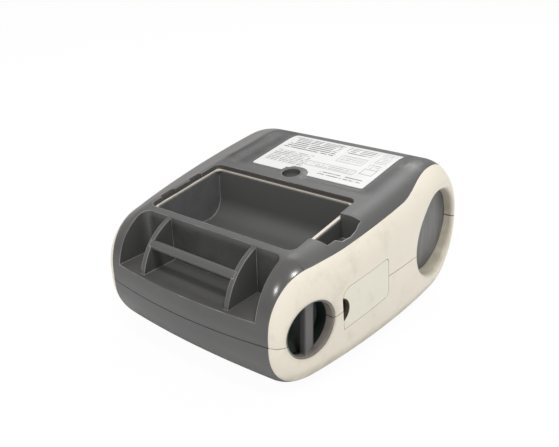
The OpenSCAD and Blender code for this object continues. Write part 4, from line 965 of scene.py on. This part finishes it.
def empty_frame(x0, x1, y0, y1, thick=0.28):
    """A thin frame: a rectangle less a smaller one."""
    return area_of_label(x0, x1, y0, y1) - area_of_label(x0 + thick, x1 - thick, y0 + thick * 1.4,
                                                         y1 - thick * 1.4)


coarse = paper.ramp(paper.noise(420.0, 1.0, 0.5, (1.0, 0.25, 1.0)), 0.36, 0.50)
finer = paper.ramp(paper.noise(900.0, 1.0, 0.5, (1.0, 0.3, 1.0)), 0.34, 0.52)
ink = (ruled(1.9, 0.75, -23.5, 6.0, 26.2, 40.2) * coarse * 0.85
       + ruled(1.9, 0.70, 9.0, 25.5, 33.0, 40.2) * coarse * 0.75
       + ruled(1.5, 0.65, -23.5, -2.0, 11.5, 24.0) * finer * 0.6
       + ruled(1.5, 0.60, 27.5, 33.8, 29.0, 40.2) * finer * 0.35
       + ruled(2.1, 0.70, 9.5, 32.5, 8.0, 12.5) * coarse * 0.7
       + empty_frame(-1.5, 25.0, 14.5, 19.0) * 0.5 + empty_frame(27.0, 33.5, 17.0, 22.5) * 0.6
       + empty_frame(10.0, 24.0, 23.5, 30.5) * 0.45
       + ruled(1.5, 0.60, 0.5, 23.5, 15.2, 18.4) * finer * 0.45
       + ruled(1.7, 0.65, 11.0, 23.0, 24.5, 29.6) * finer * 0.40
       + ruled(1.6, 0.60, 27.0, 33.6, 23.2, 28.0) * coarse * 0.50) * 1.3
white_film = paper.mix(grey * 0.5, (0.66, 0.66, 0.655), (0.60, 0.60, 0.595))
paper.feed(Base_Color=paper.mix(ink.clamp(), white_film, (0.07, 0.07, 0.075)), Roughness=0.42 + 0.1 * grey,
           Normal=paper.bump(paper.noise(900.0, 2.0), 0.15, 0.00001))
label_low, label_high, label_bite = 0.88, 0.63, 7.6
label_corners, label_corner_r = (-26, 5.6, 36, 42.6), 1.2
sheet = combine(case_solid(label_high), case_solid(label_low))
cut_out = combine(prism(box_ring(*label_corners, label_corner_r), 50, 160),
                  prism(circle_ring(boss_x, boss_y, label_bite), 40, 170))
sheet = combine(sheet, cut_out, how="INTERSECT")
finish_piece(sheet, "blank_rating_label", "case", ["rating_label"], paper.material)


# Metal parts.
# Turned, stamped and plated pieces inside the case: fine scratches along one direction.
def metal(name, color, rough, stretch):
    """Bare or plated metal with fine drawn lines and faint stains."""
    finish = Finish(name, Metallic=1.0)
    lines = finish.noise(500.0, 3.0, 0.6, stretch)
    stains = finish.ramp(finish.noise(60.0, 3.0), 0.35, 0.75)
    soft, edges = rounded_edges(finish, 0.00012)
    shade = finish.mix(stains * 0.5, color, tuple(0.7 * c for c in color))
    return finish.feed(Base_Color=finish.mix(edges * 0.3, shade, tuple(min(1.0, 1.2 * c) for c in color)),
                       Roughness=rough + 0.15 * lines, Normal=finish.bump(lines, 0.25, 0.00001, soft))


dress(metal("turned_steel", (0.62, 0.62, 0.63), 0.22, (0.1, 1, 1)),
      "case_screws", "lid_hinge_pin", "platen_shaft", "tear_bar", "board_screws")
dress(metal("spring_wire", (0.55, 0.55, 0.56), 0.25, (6, 1, 1)), "lid_spring", "head_springs", "latch_spring")
dress(metal("zinc_sheet", (0.56, 0.57, 0.60), 0.30, (1, 0.2, 1)), "print_frame")
dress(metal("tinned_can", (0.66, 0.66, 0.65), 0.28, (1, 1, 0.3)), "usb_socket", "radio_module")
dress(metal("gold_plate", (0.83, 0.62, 0.26), 0.2, (1, 1, 0.3)), "battery_contacts")
dress(metal("sintered_bronze", (0.60, 0.44, 0.22), 0.4, (1, 1, 1)), "platen_bushes")
dress(metal("pinion_brass", (0.78, 0.60, 0.28), 0.25, (1, 1, 1)), "motor_pinion")
dress(metal("extruded_aluminium", (0.74, 0.74, 0.75), 0.3, (0.1, 1, 1)), "head_heatsink", "feed_motor")

# Inner plastics and rubber.
# Moulded and turned pieces of the print works and the controls: black and coloured mouldings,
# white gears, the platen's rubber sleeve, the glazed print head and its amber cable.
dress(moulded_plastic("black_moulding", (0.022, 0.022, 0.024), (0.07, 0.07, 0.07), rough=0.4),
      "contact_block", "dc_jack", "lid_latch", "release_button", "gap_sensor", "media_tray", "tact_switches")
dress(moulded_plastic("acetal", (0.72, 0.72, 0.68), (0.8, 0.8, 0.77), rough=0.35, grain=0.000003, edge_tint=0.2),
      "platen_gear", "idler_gear_a", "idler_gear_b", "guide_pinion")
dress(moulded_plastic("guide_plastic", (0.06, 0.24, 0.13), (0.14, 0.36, 0.22), rough=0.4),
      "guide_left", "guide_right")
dress(moulded_plastic("feed_key", (0.07, 0.16, 0.36), (0.16, 0.27, 0.5), rough=0.4), "feed_button")
dress(moulded_plastic("power_key", (0.42, 0.06, 0.04), (0.6, 0.16, 0.12), rough=0.4), "power_button")
dress(moulded_plastic("platen_rubber", (0.02, 0.02, 0.02), (0.05, 0.05, 0.05), rough=0.75, grain=0.00003),
      "platen_roller")
dress(moulded_plastic("glazed_ceramic", (0.70, 0.69, 0.64), (0.8, 0.79, 0.75), rough=0.15, edge_tint=0.2),
      "print_head")
dress(moulded_plastic("amber_film", (0.62, 0.34, 0.10), (0.75, 0.5, 0.2), rough=0.25, grain=0.000002),
      "head_cable")


# Circuit boards.
# Glass-fibre boards under green solder mask with fine copper tracks, and the black parts on them.
def grid_lines(finish, offset, scale, thick):
    """1 on the lines between rows of small rectangles, which are offset from row to row."""
    return finish.add("TexBrick", {"offset": offset}, {"Vector": finish.place, "Scale": scale,
                                                       "Mortar Size": thick}, "Fac")


board = Finish("solder_mask")
tracks = grid_lines(board, 0.5, 420.0, 0.03)
mask_shade = board.mix(tracks * 0.6 + 0.2 * board.noise(80.0), (0.015, 0.12, 0.05), (0.05, 0.26, 0.12))
board.feed(Base_Color=mask_shade, Roughness=0.3 + 0.1 * board.noise(300.0),
           Normal=board.bump(tracks, 0.3, 0.00003))
dress(board.material, "port_board", "panel_board", "main_board")
dress(moulded_plastic("chip_resin", (0.018, 0.018, 0.02), (0.05, 0.05, 0.05), rough=0.5, grain=0.00001),
      "board_chips")

# Clear windows and display.
# Polycarbonate panes over the labels and the display, and the grey-green display behind one of them.
pane = Finish("clear_pane", IOR=1.5)
haze = pane.noise(50.0, 3.0)
pane.feed(Base_Color=pane.mix(haze, (0.045, 0.055, 0.06), (0.075, 0.085, 0.09)), Roughness=0.06 + 0.12 * haze,
          Normal=rounded_edges(pane, 0.0003)[0])
dress(pane.material, "lid_window", "display_window")
display = Finish("display_glass", Roughness=0.2)
cells = grid_lines(display, 0.0, 900.0, 0.05)
display.feed(Base_Color=display.mix(cells, (0.30, 0.35, 0.24), (0.22, 0.26, 0.18)))
dress(display.material, "lcd_module")

# Floor, world and lamps.
# A white sweep with a faint shadow, a soft overcast light and three soft boxes. The camera sees the
# sweep mostly as an even white glow, and the rest of it as a matt floor that takes the shadow.
floor_half, floor_drop, glow_share = 3000, 0.05, 0.96
corners = np.array([(-1, -1, 0), (1, -1, 0), (1, 1, 0), (-1, 1, 0)])
floor = mesh_object("floor", corners * floor_half - [0, 0, floor_drop], [[0, 1, 2, 3]])
sweep = Finish("white_sweep", Roughness=0.9, Base_Color=(0.92, 0.92, 0.92))
tree = sweep.material.node_tree
seen = sweep.add("LightPath", {}, {}, "Is Camera Ray")
glow = sweep.add("Emission", {}, {"Color": (1, 1, 1)})
blend = sweep.add("MixShader", {}, {0: seen * glow_share, 1: Socket(sweep.material, sweep.shader.outputs[0]),
                                    2: glow})
tree.links.new(blend.link, tree.nodes["Material Output"].inputs["Surface"])
floor.data.materials.append(sweep.material)

# The background is white for the camera and through clear parts, and lights the object more softly.
overcast_strength = 0.565
world = bpy.data.worlds.new("overcast")
bpy.context.scene.world = world
world.use_nodes = True
sky = world.node_tree
ambient = sky.nodes["Background"]
ambient.inputs["Color"].default_value = (1, 1, 1, 1)
ambient.inputs["Strength"].default_value = overcast_strength
white = sky.nodes.new("ShaderNodeBackground")
white.inputs["Color"].default_value = (1, 1, 1, 1)
path = sky.nodes.new("ShaderNodeLightPath")
either = sky.nodes.new("ShaderNodeMath")
either.operation = "MAXIMUM"
sky.links.new(path.outputs["Is Camera Ray"], either.inputs[0])
sky.links.new(path.outputs["Is Transmission Ray"], either.inputs[1])
choose = sky.nodes.new("ShaderNodeMixShader")
sky.links.new(either.outputs[0], choose.inputs[0])
sky.links.new(ambient.outputs[0], choose.inputs[1])
sky.links.new(white.outputs[0], choose.inputs[2])
sky.links.new(choose.outputs[0], sky.nodes["World Output"].inputs["Surface"])


def soft_box(name, place, size, watts):
    """A square lamp that faces a point a little above the middle of the floor."""
    light = bpy.data.lights.new(name, "AREA")
    light.size, light.energy = size, watts
    thing = bpy.data.objects.new(name, light)
    bpy.context.scene.collection.objects.link(thing)
    away = np.array(place, float) - np.array((0, 0, 0.03), float)
    away /= np.linalg.norm(away)
    sideways = np.cross([0, 0, 1], away)
    sideways /= np.linalg.norm(sideways)
    stand(thing, sideways, np.cross(away, sideways), away, place)


soft_box("front_box", (-0.065, -0.90, 0.89), 0.18, 3.8)
soft_box("side_box", (0.525, -0.21, 1.14), 0.17, 6.0)
soft_box("back_box", (-0.3, 0.75, 0.95), 0.6, 5.0)

bpy.context.scene.view_settings.view_transform = "Standard"
